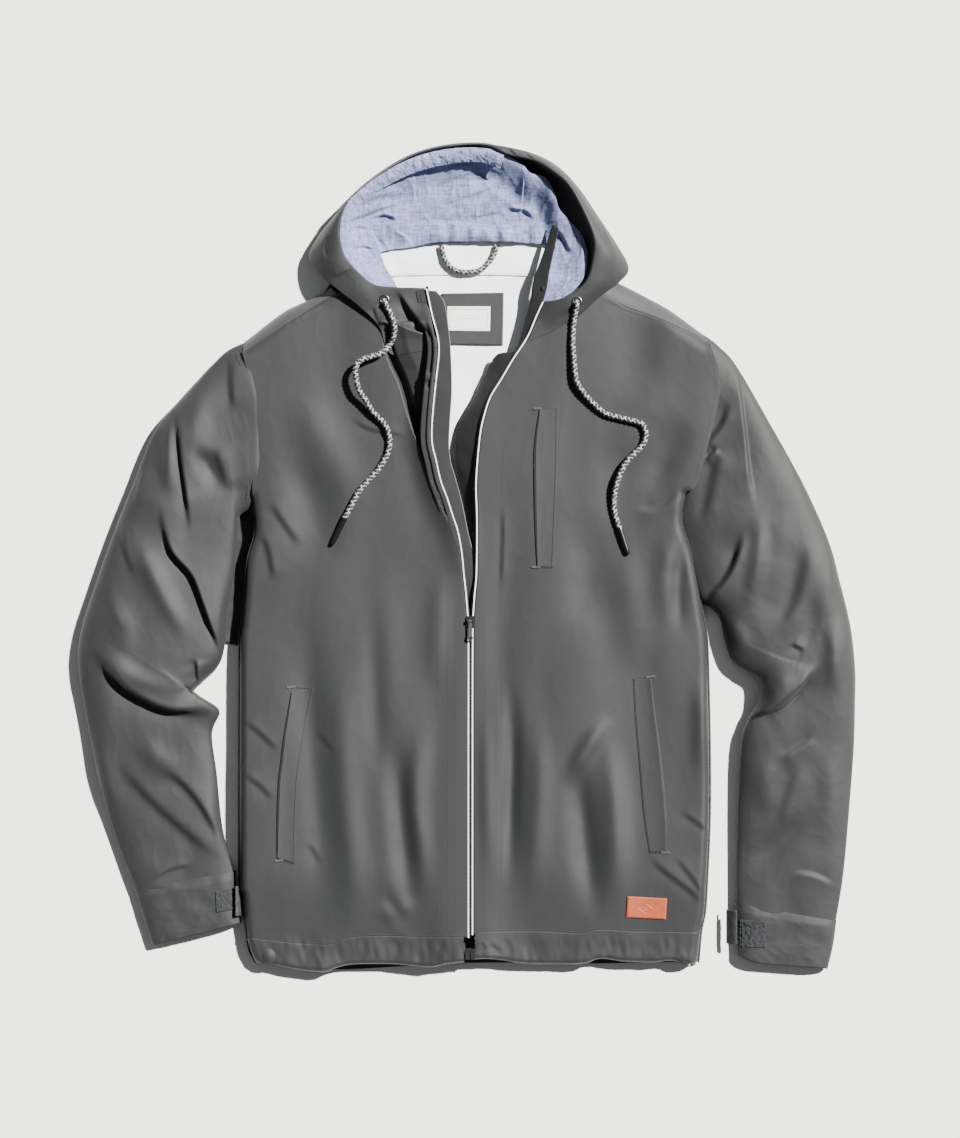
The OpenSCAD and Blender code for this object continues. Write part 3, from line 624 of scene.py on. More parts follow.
def open_front(X, Y, Z):
    """The photo-left front edge stands up beside a deep fold."""
    up = np.interp(Y, [-70, -20, 40, 100, 160, 225, 290], [0, 1.5, 7, 11.5, 14, 14, 10])
    edge, side, _ = near(X, Y, dense(edge_right_front[3:], 4))
    lap, beyond, _ = near(X, Y, dense(lapel_edge, 4))
    floor_z = np.interp(Y, [14, 60, 110, 200, 232, 250], [25.5, 19, 14.5, 15, 20, 26])
    tall = Z + up * (Y > -70) * np.exp(-((edge / 16) ** 2)) * step01((Y + 70) / 60)
    between = (beyond > 0) & (side > 0) & (Y > 14) & (Y < 250)
    # a trench beside the lapel, then a shelf that climbs to the foot of the standing edge
    room = step01((lap + edge - 17) / 13)
    shelf = room * np.clip(9.5 + 0.3 * (lap - 9), 0, 14) * step01((lap - 5.5) / 4.5)
    ground = floor_z - 2.0 * room + shelf
    wall = HIGH + up - (HIGH + up - ground) * step01((edge - 3.5) / 4.5)
    lip = Z - (Z - ground) * step01(lap / 2.2)
    return np.where(between, np.maximum(np.maximum(ground, wall), lip), tall)


def body_height(X, Y):
    """Height of the upper side of the torso."""
    X, Y = np.asarray(X, float), np.asarray(Y, float)
    Z = np.full(X.shape, HIGH)
    middle = step01((np.abs(X - ZIP_X) - 6) / 40)
    wavy = 1.5 * ripples(X, Y, 170, 3, 2.0) + 0.4 * ripples(X, Y, 80, 4, 2.6) + 0.05 * crinkle(X, Y, 34, 5, 1.8)
    wavy += 0.015 * ripples(X, Y, 11, 6, 1.5)
    open_part = step01((Y + 40) / 60) * step01((90 - np.abs(X)) / 60)
    Z += wavy * middle + relief(X, Y, seam_lines) + 2.25 * relief(
        X, Y, [f for f in body_folds if f[0] == "swell"]) + 1.1 * relief(X, Y,
        [f for f in body_folds if f[0] == "crease"])
    Z += 0.3 * open_part
    Z = open_front(X, Y, Z)
    # the hem lies thin away from the zip
    thin = step01((-330 - Y) / 100) * step01((np.abs(X - ZIP_X) - 8) / 60)
    Z *= 1 - 0.22 * thin
    pucker = step01((-398 - Y) / 20)
    Z += pucker * (0.5 * ripples(X, 0.4 * Y, 34, 11) + 0.18 * ripples(X, 0.4 * Y, 13, 12))
    low = side_foot(Y)
    for line, width, foot in ((side_right, 10, low), (side_left, 10, low), (ridge_right, 22, 3.0),
        (ridge_left, 22, 3.0)):
        r, _, _ = near(X, Y, dense(line, 4))
        t = np.clip(r / width, 0, 1)
        Z = foot + (Z - foot) * np.sqrt(np.clip(1 - (1 - t) ** 2.2, 0, 1))
    r1, _, _ = near(X, Y, dense(hem_edge_right, 3))
    r2, _, _ = near(X, Y, dense(hem_edge_left, 3))
    t = np.clip(np.minimum(r1, r2) / 5, 0, 1)
    Z = 1.0 + (Z - 1.0) * (0.72 + 0.28 * np.sqrt(np.clip(1 - (1 - t) ** 2, 0, 1)))
    for x in (-212, 232):  # over the cord locks
        Z = np.maximum(Z, 21.8 - 7 * (((X - x) / 13) ** 2 + ((Y + 427) / 15) ** 2))
    return Z


def body_cloth(name, plan, thickness, material, slot, replaces=(), lift=0.0, body="torso"):
    return cloth(name, plan, body_height(plan[..., 0], plan[..., 1]) + lift, thickness, material, slot, body,
        replaces)


# ---------- torso ----------

front_right_plan = coons(
    hem_seam_right, edge_right_front[:17], [(-240, 219), (-190, 250), (-141, 281), (-112, 268), (-70, 246),
    (-32, 233)], [(-236, -409), (-240, -362), (-243, -340), (-243, -225), (-243, -110), (-241, -75), (-237, -38),
    (-234, -3), (-226, 28), (-229, 62), (-228, 107), (-228, 156), (-232, 185), (-240, 219)],
    crowded(150, True, True, 0.5), np.linspace(0, 1, 330))
front_left_plan = coons(
    hem_seam_left,
    [(251, -403), (255, -381), (257, -351), (260, -280), (260, -200), (258, -111), (256, -81), (252, -59), (248, -34),
    (241, -2), (236, 16), (230, 38), (234, 66), (245, 75), (256, 112), (268, 160), (270, 195), (259, 230)],
    [(66, 233), (84, 246), (104, 255), (125, 268), (143, 280), (168, 267), (197, 257), (228, 245), (259, 230)],
    edge_left_front[:14], crowded(150, True, True, 0.5), np.linspace(0, 1, 330))
body_cloth("front_right", front_right_plan, 1.0, shell_mat, "shell", ["front_panel_right"])
body_cloth("front_left", front_left_plan, 1.0, shell_mat, "shell", ["front_panel_left"])

for name, seam, ridge in (("yoke_right", yoke_seam_right, ridge_right), ("yoke_left", yoke_seam_left, ridge_left)):
    seam_line = dense(seam)
    inner = beside(seam_line, -3 if name == "yoke_right" else 3)
    plan = lattice(inner, dense(ridge), crowded(26, False, True), np.linspace(0, 1, 90))
    body_cloth(name, plan, 0.9, yoke_lit_mat, "yoke", ["shoulder_yoke"], -0.5)

for name, seam, edge, node in (
    ("hem_right", hem_seam_right, hem_edge_right, "hem_band_right"),
    ("hem_left", hem_seam_left, hem_edge_left, "hem_band_left"),
):
    plan = lattice(beside(dense(seam), 1.2), dense(edge), np.linspace(0, 1, 22), np.linspace(0, 1, 200))
    plan[..., 0] = np.minimum(plan[..., 0], -2.4) if name == "hem_right" else np.maximum(plan[..., 0], 9.2)
    body_cloth(name, plan, 1.4, shell_mat, "shell", [node], 0.35)

for name, line, out in (("side_right_panel", side_right, -1), ("side_left_panel", side_left, 1)):
    edge = spaced(line, 2.0)
    t = np.linspace(0, 1, 9)
    plan = np.stack([beside(edge, out * (0.2 + 1.6 * math.sin(math.pi * k) - 2.5 * (1 - k) ** 6)) for k in t], 1)
    top = side_foot(edge[:, 1])[:, None] + 0.2
    cloth(name, plan, 1.6 + (top - 1.6) * t[None], 0.9, shell_mat, "shell")

under_x = np.linspace(0, 1, 12)
plan = lattice([(-225, 64), (-229, 22), (-233, -20), (-237, -60), (-241, -97)],
    [(-238, 60), (-250, 40), (-252, 16), (-255, -20), (-261, -60),
    (-264, -92)], under_x, np.linspace(0, 1, 60))
cloth("underarm_right_panel", plan, 2.4 + 0.4 * ripples(plan[..., 0], plan[..., 1], 30, 27), 0.9, shell_mat, "shell")

flat = np.linspace(0, 1, 90)
back_plan = coons(
    [(-227, -434), (-150, -443), (0, -436), (120, -437), (248, -435)],
    side_left[::-1] + [(245, 75), (256, 112), (268, 160), (270, 195), (259, 230)],
    [(-240, 222), (-200, 261), (-158, 283), (-140, 304), (-100, 326), (4, 333), (110, 326), (150, 300), (180, 286),
    (220, 264), (259, 230)],
    side_right[::-1] + armhole_right[1:], flat, flat)
back_z = 1.5 + 0.25 * ripples(back_plan[..., 0], back_plan[..., 1], 90, 21) + 0.1 * crinkle(
    back_plan[..., 0], back_plan[..., 1], 30, 22)
cloth("back", back_plan, back_z, 0.9, shell_mat, "shell", "torso", ["back_panel", "hem_band_back", "side_panels"])

lining_plan = coons(
    [(-222, -396), (0, -398), (242, -396)], [(242, -396), (250, -200), (232, 20), (248, 200)], [(-226, 205),
    (-150, 270), (-84, 303), (0, 305), (90, 303), (170, 276), (248, 200)],
    [(-222, -396), (-236, -200), (-222, 20), (-226, 205)], np.linspace(0, 1, 160), np.linspace(0, 1, 220))
LX, LY = lining_plan[..., 0], lining_plan[..., 1]
lining_folds = [
    ("swell", [(-6, 60), (4, 120), (12, 180)], 1.6, 9),
    ("swell", [(24, 150), (34, 200), (52, 250)], 1.2, 8),
    ("crease", [(-14, 110), (-4, 150), (6, 200)], 0.8, 8, -0.8, 5, 2.0),
    ("swell", [(-30, 200), (-10, 215), (30, 222)], 0.9, 8),
]


def lining_height(X, Y):
    return 3.1 + 0.45 * ripples(X, Y, 70, 31, 1.5) + 0.15 * crinkle(X, Y, 26, 32, 1.5) + relief(X, Y, lining_folds)


cloth("back_lining_sheet", lining_plan, lining_height(LX, LY), 0.6, white_mat, "white_lining", "torso",
    ["back_lining"])
for name, plan in (("front_lining_right", front_right_plan), ("front_lining_left", front_left_plan)):
    p = plan[4:-4:3, 6:-6:3]
    z = np.maximum(body_height(p[..., 0], p[..., 1]) - 4.0, 3.4)
    lap, _, _ = near(p[..., 0], p[..., 1], dense(lapel_edge, 4))
    z -= np.maximum(z - 6.5, 0) * step01((40 - lap) / 14) * (p[..., 1] > -40)
    cloth(name, p, z, 0.6, white_mat, "white_lining", "torso", ["front_lining"])

# ---------- sleeves ----------

sleeve_right_folds = [
    ("crease", [(-310, 160), (-307, 129), (-304, 97), (-299, 61), (-295, 25)], 3.4, 15, -3.0, 7),
    ("swell", [(-323, 170), (-319, 110), (-312, 55)], 2.8, 8),
    ("crease", [(-328, 54), (-322, 25), (-313, 2), (-294, -20), (-283, -47), (-272, -79), (-266, -97), (-266, -115)],
    4.5, 16, -3.8, 8),
    ("crease", [(-371, 39), (-367, 14), (-358, -13), (-353, -22)], 1.8, 11, -1.6, 8, 1.5),
    ("swell", [(-356, 27), (-340, -7), (-317, -52), (-290, -100)], 3.8, 11),
    ("swell", [(-290, 122), (-280, 100), (-264, 76)], -3.0, 8),
    ("crease", [(-253, 222), (-252, 190), (-250, 152)], 1.6, 12, -1.6, 8, 2.0),
    ("crease", [(-408, -103), (-394, -107), (-380, -123), (-364, -141), (-342, -155), (-320, -164), (-298, -166),
    (-263, -166)], 7.5, 20, -5.5, 13, 2.2),
    ("swell", [(-396, -96), (-370, -118), (-340, -134), (-300, -140)], 3.0, 11),
    ("crease", [(-300, -136), (-294, -144), (-282, -150)], 3.0, 8, -2.0, 5),
    ("crease", [(-333, -225), (-309, -239), (-287, -263), (-270, -293), (-262, -310)], 2.6, 15, -2.2, 11, 2.5),
    ("crease", [(-380, -212), (-344, -255), (-303, -293), (-257, -332)], 2.2, 17, -2.2, 13, 3.5),
    ("crease", [(-289, -108), (-288, -124), (-288, -138)], 2.4, 7, -2.0, 5),
    ("swell", [(-386, -40), (-372, -75), (-350, -108)], 2.2, 13),
    ("swell", [(-402, -180), (-385, -240), (-370, -300)], 2.0, 13),
    ("swell", [(-350, -190), (-330, -215), (-300, -232)], 2.2, 12),
    ("crease", [(-318, 160), (-322, 110), (-330, 60)], 2.2, 18, -2.2, 18, 6.0),
    ("crease", [(-272, 120), (-262, 92), (-256, 66)], 2.4, 16, -2.8, 14, 4.0),
    ("crease", [(-392, -20), (-378, -60), (-350, -96)], 1.8, 20, -2.0, 18, 6.0),
    ("crease", [(-340, -350), (-318, -336), (-290, -330)], 1.2, 8, -1.0, 6, 1.5),
    ("crease", [(-345, 100), (-352, 78), (-356, 50)], 1.6, 10, -1.2, 8, 2.0),
    ("swell", [(-275, 190), (-288, 140), (-290, 60)], 2.0, 14),
]
sleeve_left_folds = [
    ("crease", [(309, 50), (304, 75), (301, 97), (298, 129), (293, 172), (289, 205)], 2.8, 11, -2.2, 7),
    ("swell", [(311, 60), (312, 10), (304, -40), (297, -64)], 2.8, 9),
    ("crease", [(282, 170), (273, 143), (259, 124), (242, 104)], 2.4, 12, -2.2, 8, 2.2),
    ("crease", [(268, 116), (262, 110), (254, 104)], 2.0, 6, -2.0, 5),
    ("crease", [(276, 124), (266, 96), (258, 60), (250, 26)], 2.4, 18, -2.6, 14, 4.5),
    ("crease", [(295, 30), (286, -4), (275, -25), (261, -41), (250, -58)], 4.2, 16, -3.8, 12, 1.6),
    ("crease", [(364, 28), (358, -20), (346, -58), (322, -90)], 3.4, 20, -3.4, 20, 6.5),
    ("swell", [(389, -60), (392, -110), (391, -150)], 2.6, 9),
    ("swell", [(372, -30), (366, -70), (350, -110)], -1.6, 11),
    ("crease", [(294, -180), (311, -172), (336, -161), (355, -143), (369, -123),
    (372, -110)], 5.4, 17, -4.6, 10, 1.6),
    ("swell", [(296, -178), (324, -166), (350, -148), (368, -124)], -3.0, 3.5),
    ("swell", [(310, -150), (330, -140), (350, -122)], 2.6, 12),
    ("crease", [(346, -92), (353, -97), (361, -100)], 1.6, 6, -1.4, 4),
    ("swell", [(374, -262), (352, -288), (331, -310), (296, -339)], -2.8, 12),
    ("swell", [(385, -190), (390, -250), (385, -320)], 2.0, 13),
    ("swell", [(318, -200), (322, -260), (330, -290)], 1.8, 14),
    ("crease", [(396, -352), (370, -340), (345, -338)], 1.2, 9, -1.0, 7, 1.5),
    ("crease", [(330, 150), (340, 112), (352, 84)], 1.4, 11, -1.2, 9, 2.0),
    ("crease", [(376, -190), (350, -206), (330, -216)], 1.4, 12, -1.2, 9, 2.5),
    ("swell", [(276, -60), (290, -84), (300, -108)], 2.2, 10),
    ("swell", [(392, 6), (384, -40), (376, -84)], 2.0, 12),
    ("crease", [(360, -212), (344, -250), (330, -300)], 2.0, 20, -2.0, 18, 6.0),
    ("swell", [(330, 60), (336, 0), (326, -50)], 1.8, 13),
]
outer_right = [(-232, 231), (-244, 227), (-260, 218), (-280, 197), (-300, 175), (-333, 137), (-359, 75), (-381, 19),
    (-401, -38), (-412, -72), (-417, -101), (-416, -126), (-410, -162), (-394, -244), (-372, -313), (-355, -359)]
inner_right = [(-222, 62), (-232, 52), (-244, 42), (-246, 16), (-249, -20), (-256, -60), (-260, -100), (-268, -120),
    (-284, -136), (-293, -146), (-282, -152), (-265, -166), (-273, -190), (-268, -233), (-262, -290), (-250, -341)]
outer_left = [(251, 239), (260, 234), (272, 224), (289, 205), (320, 152), (360, 80), (388, 18), (400, -25),
    (412, -75), (417, -120), (417, -156), (416, -200), (413, -244), (405, -337), (396, -394)]
inner_left = [(228, 66), (226, 48), (228, 25), (234, 0), (242, -25), (251, -48), (264, -57), (272, -68), (276, -88),
    (284, -112), (298, -124), (312, -133), (312, -154), (301, -176), (294, -200), (291, -260), (290, -330),
    (290, -376)]


def softened(features, wide):
    """The same creases with wider sides and a rounder edge."""
    return [f if f[0] == "swell" else (f[0], f[1], f[2], f[3] * wide, f[4] * 0.9, f[5] * 1.3 * wide,
        1.3 * (f[6] if len(f) > 6 else 0.9)) for f in features]


def sleeve(name, outer, inner, arm, cuff_seam, folds, seed, nodes_replaced):
    """A flattened tube with folds pressed into its upper side."""
    nu, nv, nb = 96, 330, 26
    u = crowded(nu, True, True, 0.85)
    v = np.linspace(0, 1, nv)
    plan = coons(arm, outer, cuff_seam, inner, u, v)
    X, Y = plan[..., 0], plan[..., 1]
    U, V = np.meshgrid(u, v)
    tall = np.interp(v, [0, 0.08, 0.3, 0.55, 0.75, 1], [26.4, 28, 31, 31, 24, 17])[:, None]
    shape = np.clip(1 - np.abs(2 * U - 1) ** 4.4, 0, 1) ** 0.6
    wavy = 1.1 * ripples(X, Y, 110, seed, 1.6) + 0.28 * ripples(X, Y, 52, seed + 1, 1.6) + 0.08 * crinkle(
        X, Y, 34, seed + 2, 1.3) + 0.015 * ripples(X, Y, 10, seed + 3)
    edge = 14.5 * np.interp(v, [0, 0.1, 1], [0.9, 1.0, 0.7])[:, None]
    top = edge + (tall - edge) * shape + (wavy + 1.3 * relief(X, Y, softened(folds, 1.25))) * np.clip(shape * 1.6, 0,
        1)
    top = np.maximum(top, 3.0)
    top = top - 0.9 * step01(1 - V / 0.012)
    b = np.linspace(1, 0, nb)[1:-1]
    lower_plan = coons(arm, outer, cuff_seam, inner, b[::-1], v)[:, ::-1]
    B = np.broadcast_to(b[None], (nv, nb - 2))
    low = 0.5 + (edge - 0.5) * np.abs(2 * B - 1) ** 9 + 0.25 + 0.25 * ripples(
        lower_plan[..., 0], lower_plan[..., 1], 60, seed + 4)
    ring = np.concatenate([np.dstack([plan, top]), np.dstack([lower_plan, np.maximum(low, 0.3)])], 1)
    faces = grid_faces(nv, ring.shape[1], wrap=True)
    obj = piece(name, ring, faces, shell_mat, "shell", None, nodes_replaced)
    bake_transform(obj)


arm_right_line = [(-222, 62), (-220, 107), (-220, 156), (-223, 185), (-232, 231)]
arm_left_line = [(228, 66), (237, 80), (247, 112), (259, 160), (260, 195), (251, 239)]
sleeve(
    "sleeve_right_shell", outer_right, inner_right, arm_right_line, [(-250, -341), (-290, -348), (-355, -359)],
    sleeve_right_folds, 41, ["sleeve_right"])
sleeve(
    "sleeve_left_shell", outer_left, inner_left, arm_left_line, [(290, -376), (320, -380), (396, -394)],
    sleeve_left_folds, 51, ["sleeve_left"])


def cuff(name, outer, inner, seam, mouth, seed, body, node):
    """The cuff band: an open tube with a turned-in end."""
    nu, nv, nb = 60, 44, 24
    u = crowded(nu, True, True, 0.85)
    v = np.linspace(0, 1, nv)
    plan = coons(seam, outer, mouth, inner, u, v)
    X, Y = plan[..., 0], plan[..., 1]
    U, V = np.meshgrid(u, v)
    tall = np.interp(v, [0, 0.15, 1], [17.2, 18.6, 17])[:, None]
    shape = np.clip(1 - np.abs(2 * U - 1) ** 6, 0, 1) ** 0.6
    top = 8.0 + (tall - 8.0) * shape + (0.35 * ripples(X, Y, 40, seed) + 0.15 * crinkle(X, Y, 22, seed + 1)) * shape
    b = np.linspace(1, 0, nb)[1:-1]
    under = coons(seam, outer, mouth, inner, b[::-1], v)[:, ::-1]
    B = np.broadcast_to(b[None], (nv, nb - 2))
    low = 0.6 + 7.4 * np.abs(2 * B - 1) ** 9
    ring = np.concatenate([np.dstack([plan, top]), np.dstack([under, low])], 1)
    centre = ring.mean(1, keepdims=True)
    inset = ring + (centre - ring) * np.array([0.012, 0.012, 0.12])
    rows = np.concatenate([ring, inset[::-1][:26]], 0)
    faces = grid_faces(len(rows), ring.shape[1], wrap=True)
    piece(name, rows, faces, shell_mat, "shell", body, [node])
    return np.dstack([plan, top])


cuff_right_top = cuff(
    "cuff_right_band", [(-357, -356), (-348, -386), (-338, -417)], [(-248, -338), (-247, -366), (-242, -393)],
    [(-248, -338), (-290, -345), (-357, -356)], [(-242, -393), (-281, -403), (-314, -411), (-338, -417)],
    61, "sleeve_right", "cuff_right")
cuff_left_top = cuff(
    "cuff_left_band", [(397.5, -391), (394, -417), (388, -443)], [(288.5, -372), (290, -402), (290, -428)],
    [(288.5, -372), (320, -377), (397.5, -391)], [(290, -428), (316, -436), (377, -441), (388, -443)],
    71, "sleeve_left", "cuff_left")


def on_grid(heights):
    """height(x, y) read off a grid of points, by the nearest one."""
    flat_points = heights.reshape(-1, 3)

    def height(X, Y):
        X, Y = np.asarray(X, float), np.asarray(Y, float)
        out = np.zeros(X.shape)
        for index in np.ndindex(X.shape):
            d = (flat_points[:, 0] - X[index]) ** 2 + (flat_points[:, 1] - Y[index]) ** 2
            out[index] = flat_points[d.argmin(), 2]
        return out

    return height


cuff_right_height, cuff_left_height = on_grid(cuff_right_top), on_grid(cuff_left_top)
for name, corners, height, body, node in (
    ("hook_patch_right", [(-268, -381), (-243, -377), (-246, -354),
    (-269, -359)], cuff_right_height, "sleeve_right", "loop_patch_right"),
    ("hook_patch_left", [(291, -418), (320, -419), (320, -391),
    (291, -389)], cuff_left_height, "sleeve_left", "loop_patch_left"),
):
    a, b, c, d = corners
    plan = coons([a, b], [b, c], [d, c], [a, d], np.linspace(0, 1, 40), np.linspace(0, 1, 36))
    z = height(plan[::3, ::3, 0], plan[::3, ::3, 1])
    z = np.kron(z, np.ones((3, 3)))[:36, :40]
    rough = np.random.default_rng(5).uniform(-0.35, 0.55, z.shape)
    rough += 0.5 * np.sign(ripples(plan[..., 0], plan[..., 1], 7, 81))
    rough[[0, -1], :] = 0
    rough[:, [0, -1]] = 0
    cloth(name, plan, z + 0.8 + rough * 0.6, 1.0, loop_mat, "loop_fabric", body, [node])

for name, x, y, body, node, sides in (
    ("tab_strap_right", (-247.4, -239.8), (-385, -353), "cuff_tab_right", "cuff_tab_right", 1),
    ("tab_strap_left", (278.6, 289.3), (-415, -379), "cuff_tab_left", "cuff_tab_left", -1),
):
    plan = coons([(x[0], y[0]), (x[1], y[0])], [(x[1], y[0]), (x[1], y[1])], [(x[0], y[1]), (x[1], y[1])],
        [(x[0], y[0]), (x[0], y[1])], np.linspace(0, 1, 14), np.linspace(0, 1, 34))
    t = np.linspace(0, 1, 14)[None] if sides > 0 else np.linspace(1, 0, 14)[None]
    z = 19.6 - 9.0 * t**2 + 0.25 * ripples(plan[..., 0], plan[..., 1], 16, 91)
    cloth(name, plan, z, 1.3, tab_mat, "tab_fabric", body, [node])

# ---------- hood ----------

# From the zip on the photo's left, round the top of the hood, to the zip on its right.
hood_outer = [(-31, 222), (-58, 217), (-82, 217), (-94, 246), (-114, 266), (-138, 285), (-158, 303), (-169, 322),
    (-161, 341), (-149, 357), (-132, 375), (-102, 403), (-65, 426), (-27, 438), (16, 441), (54, 435.5), (80, 428),
    (101, 416), (121, 395), (140, 367), (160, 337), (174, 310), (164, 294), (141, 276), (124, 260), (102, 246),
    (84, 237), (65, 229)]
hood_rim = [(-44, 284), (-59, 284.5), (-75, 285), (-98, 288), (-116, 302), (-127, 314), (-133, 325), (-136, 341),
    (-135, 356), (-131, 369), (-128, 376.5), (-100, 402), (-65, 425), (-27, 437), (16, 440), (46, 429), (73, 422),
    (94, 409), (110, 394), (125, 367), (135, 343), (137, 325), (131, 297), (119, 283), (107, 275.5), (97, 272),
    (90, 271), (83, 271)]
rim_high = [36, 35.5, 35, 35, 36, 37, 38, 39, 39, 37, 33, 29, 27, 27, 27, 31, 35, 38, 40, 41, 41.5, 41, 39, 37, 36,
    34, 32, 29]
outer_high = [20, 20, 24, 31, 33, 32, 26, 15, 12, 12, 16, 22, 24, 25, 25, 24, 20, 14, 12, 12, 12, 12, 20, 26, 28,
    27.6, 27, 27]


def paired(points, v):
    """Values along a list, one station for each entry, at fractions v."""
    line = dense(np.column_stack([np.asarray(points, float)]) if np.ndim(points) == 1 else points, 8)
    return np.stack([np.interp(v * (len(line) - 1), np.arange(len(line)),
        line[:, k]) for k in range(line.shape[1])], 1)


hood_folds = [
    ("crease", [(-78, 290), (-62, 263), (-42, 236), (-36, 224)], 4.5, 14, -7.0, 9, 1.4),
    ("crease", [(-100, 268), (-96, 254), (-90, 240)], 1.6, 9, -1.4, 6, 1.4),
    ("crease", [(128, 268), (112, 258), (96, 246)], 1.2, 9, -1.0, 6, 1.6),
    ("crease", [(128, 384), (146, 350), (158, 318)], 2.0, 10, -1.6, 7, 1.5),
    ("swell", [(150, 300), (156, 330), (142, 360)], 1.5, 9),
    ("crease", [(44, 440), (50, 430), (58, 420)], 1.8, 6, -1.6, 5),
    ("crease", [(62, 436), (66, 428), (74, 421)], 1.5, 6, -1.4, 5),
    ("crease", [(-150, 312), (-152, 330), (-146, 348)], 1.4, 9, -1.2, 7, 1.5),
    ("crease", [(-146, 296), (-134, 300), (-122, 308)], 0.9, 6, -0.9, 5),
    ("swell", [(120, 268), (138, 284), (150, 300)], 1.2, 9),
]
v = np.linspace(0, 1, 620)
u = crowded(44, True, True, 0.6)
O, Rm = paired(hood_outer, v)[:, None], paired(hood_rim, v)[:, None]
zo, zr = paired(outer_high, v), paired(rim_high, v)
hood_plan = O + (Rm - O) * u[None, :, None]
HX, HY = hood_plan[..., 0], hood_plan[..., 1]
UU = u[None]
bend = np.interp(v, [0, 0.055, 0.1, 0.9, 0.95, 1], [2.4, 2.2, 0.85, 0.85, 1.5, 1.8])[:, None]
swell_up = np.sin(0.5 * math.pi * np.clip(UU, 0, 1)) ** bend
on_front = step01((300 - HY) / 40)
seam_lift = np.interp(v, [0, 0.05, 0.08, 0.9, 0.94, 1], [0.1, 0.1, 1.0, 1.0, 0.8, 0.2])[:, None]
lie = np.maximum(zo, (body_height(HX, HY) + seam_lift) * on_front + zo * (1 - on_front))
hood_z = lie + (zr - lie) * swell_up + (
    0.5 * ripples(HX, HY, 60, 101) + 0.08 * crinkle(HX, HY, 30, 102) + relief(HX, HY,
    hood_folds)) * np.sin(math.pi * UU)
# the outside wall, down to the floor
drop = np.array([0.0, 0.35, 0.7, 1.0])[None]
down = np.where(step01((HY[:, :1] - 296) / 12) > 0.5, 1.0, 0.0)
foot = np.where(down > 0.5, 1.2, body_height(HX[:, :1], HY[:, :1]) - 0.6)
wall_z = zo - np.maximum(zo - foot, 0) * drop[:, 1:]
centre = np.array([2.0, 340.0])
pull = (O - centre) / np.linalg.norm(O - centre, axis=2)[..., None]
wall_plan = O - pull * (np.array([0.3, 1.2, 4.5])[None, :, None]) * (0.2 + 0.8 * down[..., None])
hood_surface = np.concatenate([
    np.dstack([wall_plan, wall_z])[:, ::-1], np.dstack([hood_plan, hood_z])], 1)
# the turned edge at the rim
rim_turn = []
for inward, below in ((1.2, 0.5), (1.8, 1.8), (1.2, 3.2)):
    across = (Rm - O) / np.linalg.norm(Rm - O, axis=2)[..., None]
    rim_turn.append(np.dstack([Rm + across * inward, hood_z[:, -1:] - below]))
hood_surface = np.concatenate([hood_surface] + rim_turn, 1)
hood_cloth("hood_shell", hood_surface, 0.8, shell_mat, "shell",
    ["hood_panel_left", "hood_panel_centre", "hood_panel_right", "collar_left", "collar_right"])

# back of the hood, on the floor
hood_back_plan = coons(
    [(-146, 308), (-60, 320), (60, 320), (150, 304)], [(150, 304), (168, 322), (152, 345), (134, 368)], [(-143, 357),
    (-98, 399), (-27, 432), (16, 435), (76, 424), (134, 368)], [(-146, 308), (-160, 325), (-155, 341), (-143, 357)],
    np.linspace(0, 1, 100), np.linspace(0, 1, 60))
BX, BY = hood_back_plan[..., 0], hood_back_plan[..., 1]
hood_cloth("hood_back_shell", np.dstack([hood_back_plan, 1.5 + 0.3 * ripples(BX, BY, 50, 111)]),
    0.9, shell_mat, "shell")

# the lining, from the rim down into the hood
lining_rim = [(-75, 285), (-98, 288), (-116, 302), (-127, 314), (-134, 330), (-135, 350), (-130, 371), (-108, 395),
    (-80, 414), (-45, 430), (0, 436), (30, 434), (58, 420), (68, 410), (84, 405), (94, 389), (99, 372), (112, 357),
    (124, 342), (129, 322), (126, 300), (115, 284), (97, 272)]
lining_inner = [(-73, 285.5), (-80, 299), (-88, 312), (-91, 321), (-92, 327), (-80, 330), (-68, 331), (-55, 333),
    (-38, 336.5), (-18, 337.5), (2, 337.5), (18, 337.5), (35, 337.5), (48, 337.5), (58, 337), (68, 336.5),
    (77, 335.5), (88, 336), (95, 334), (92, 322), (88, 305), (84, 288), (80, 272)]
lining_rim_high = [34, 34, 35, 36, 37, 38, 37, 32, 28, 26.5, 26, 27.5, 27, 26, 26, 25, 24.5, 25, 26, 29, 32, 34, 31]
lining_low = [30, 22, 16, 12, 10, 8.5, 8, 8, 8, 8, 8, 8, 8, 8, 8, 8.5, 9, 11, 15, 18, 20, 23, 27]
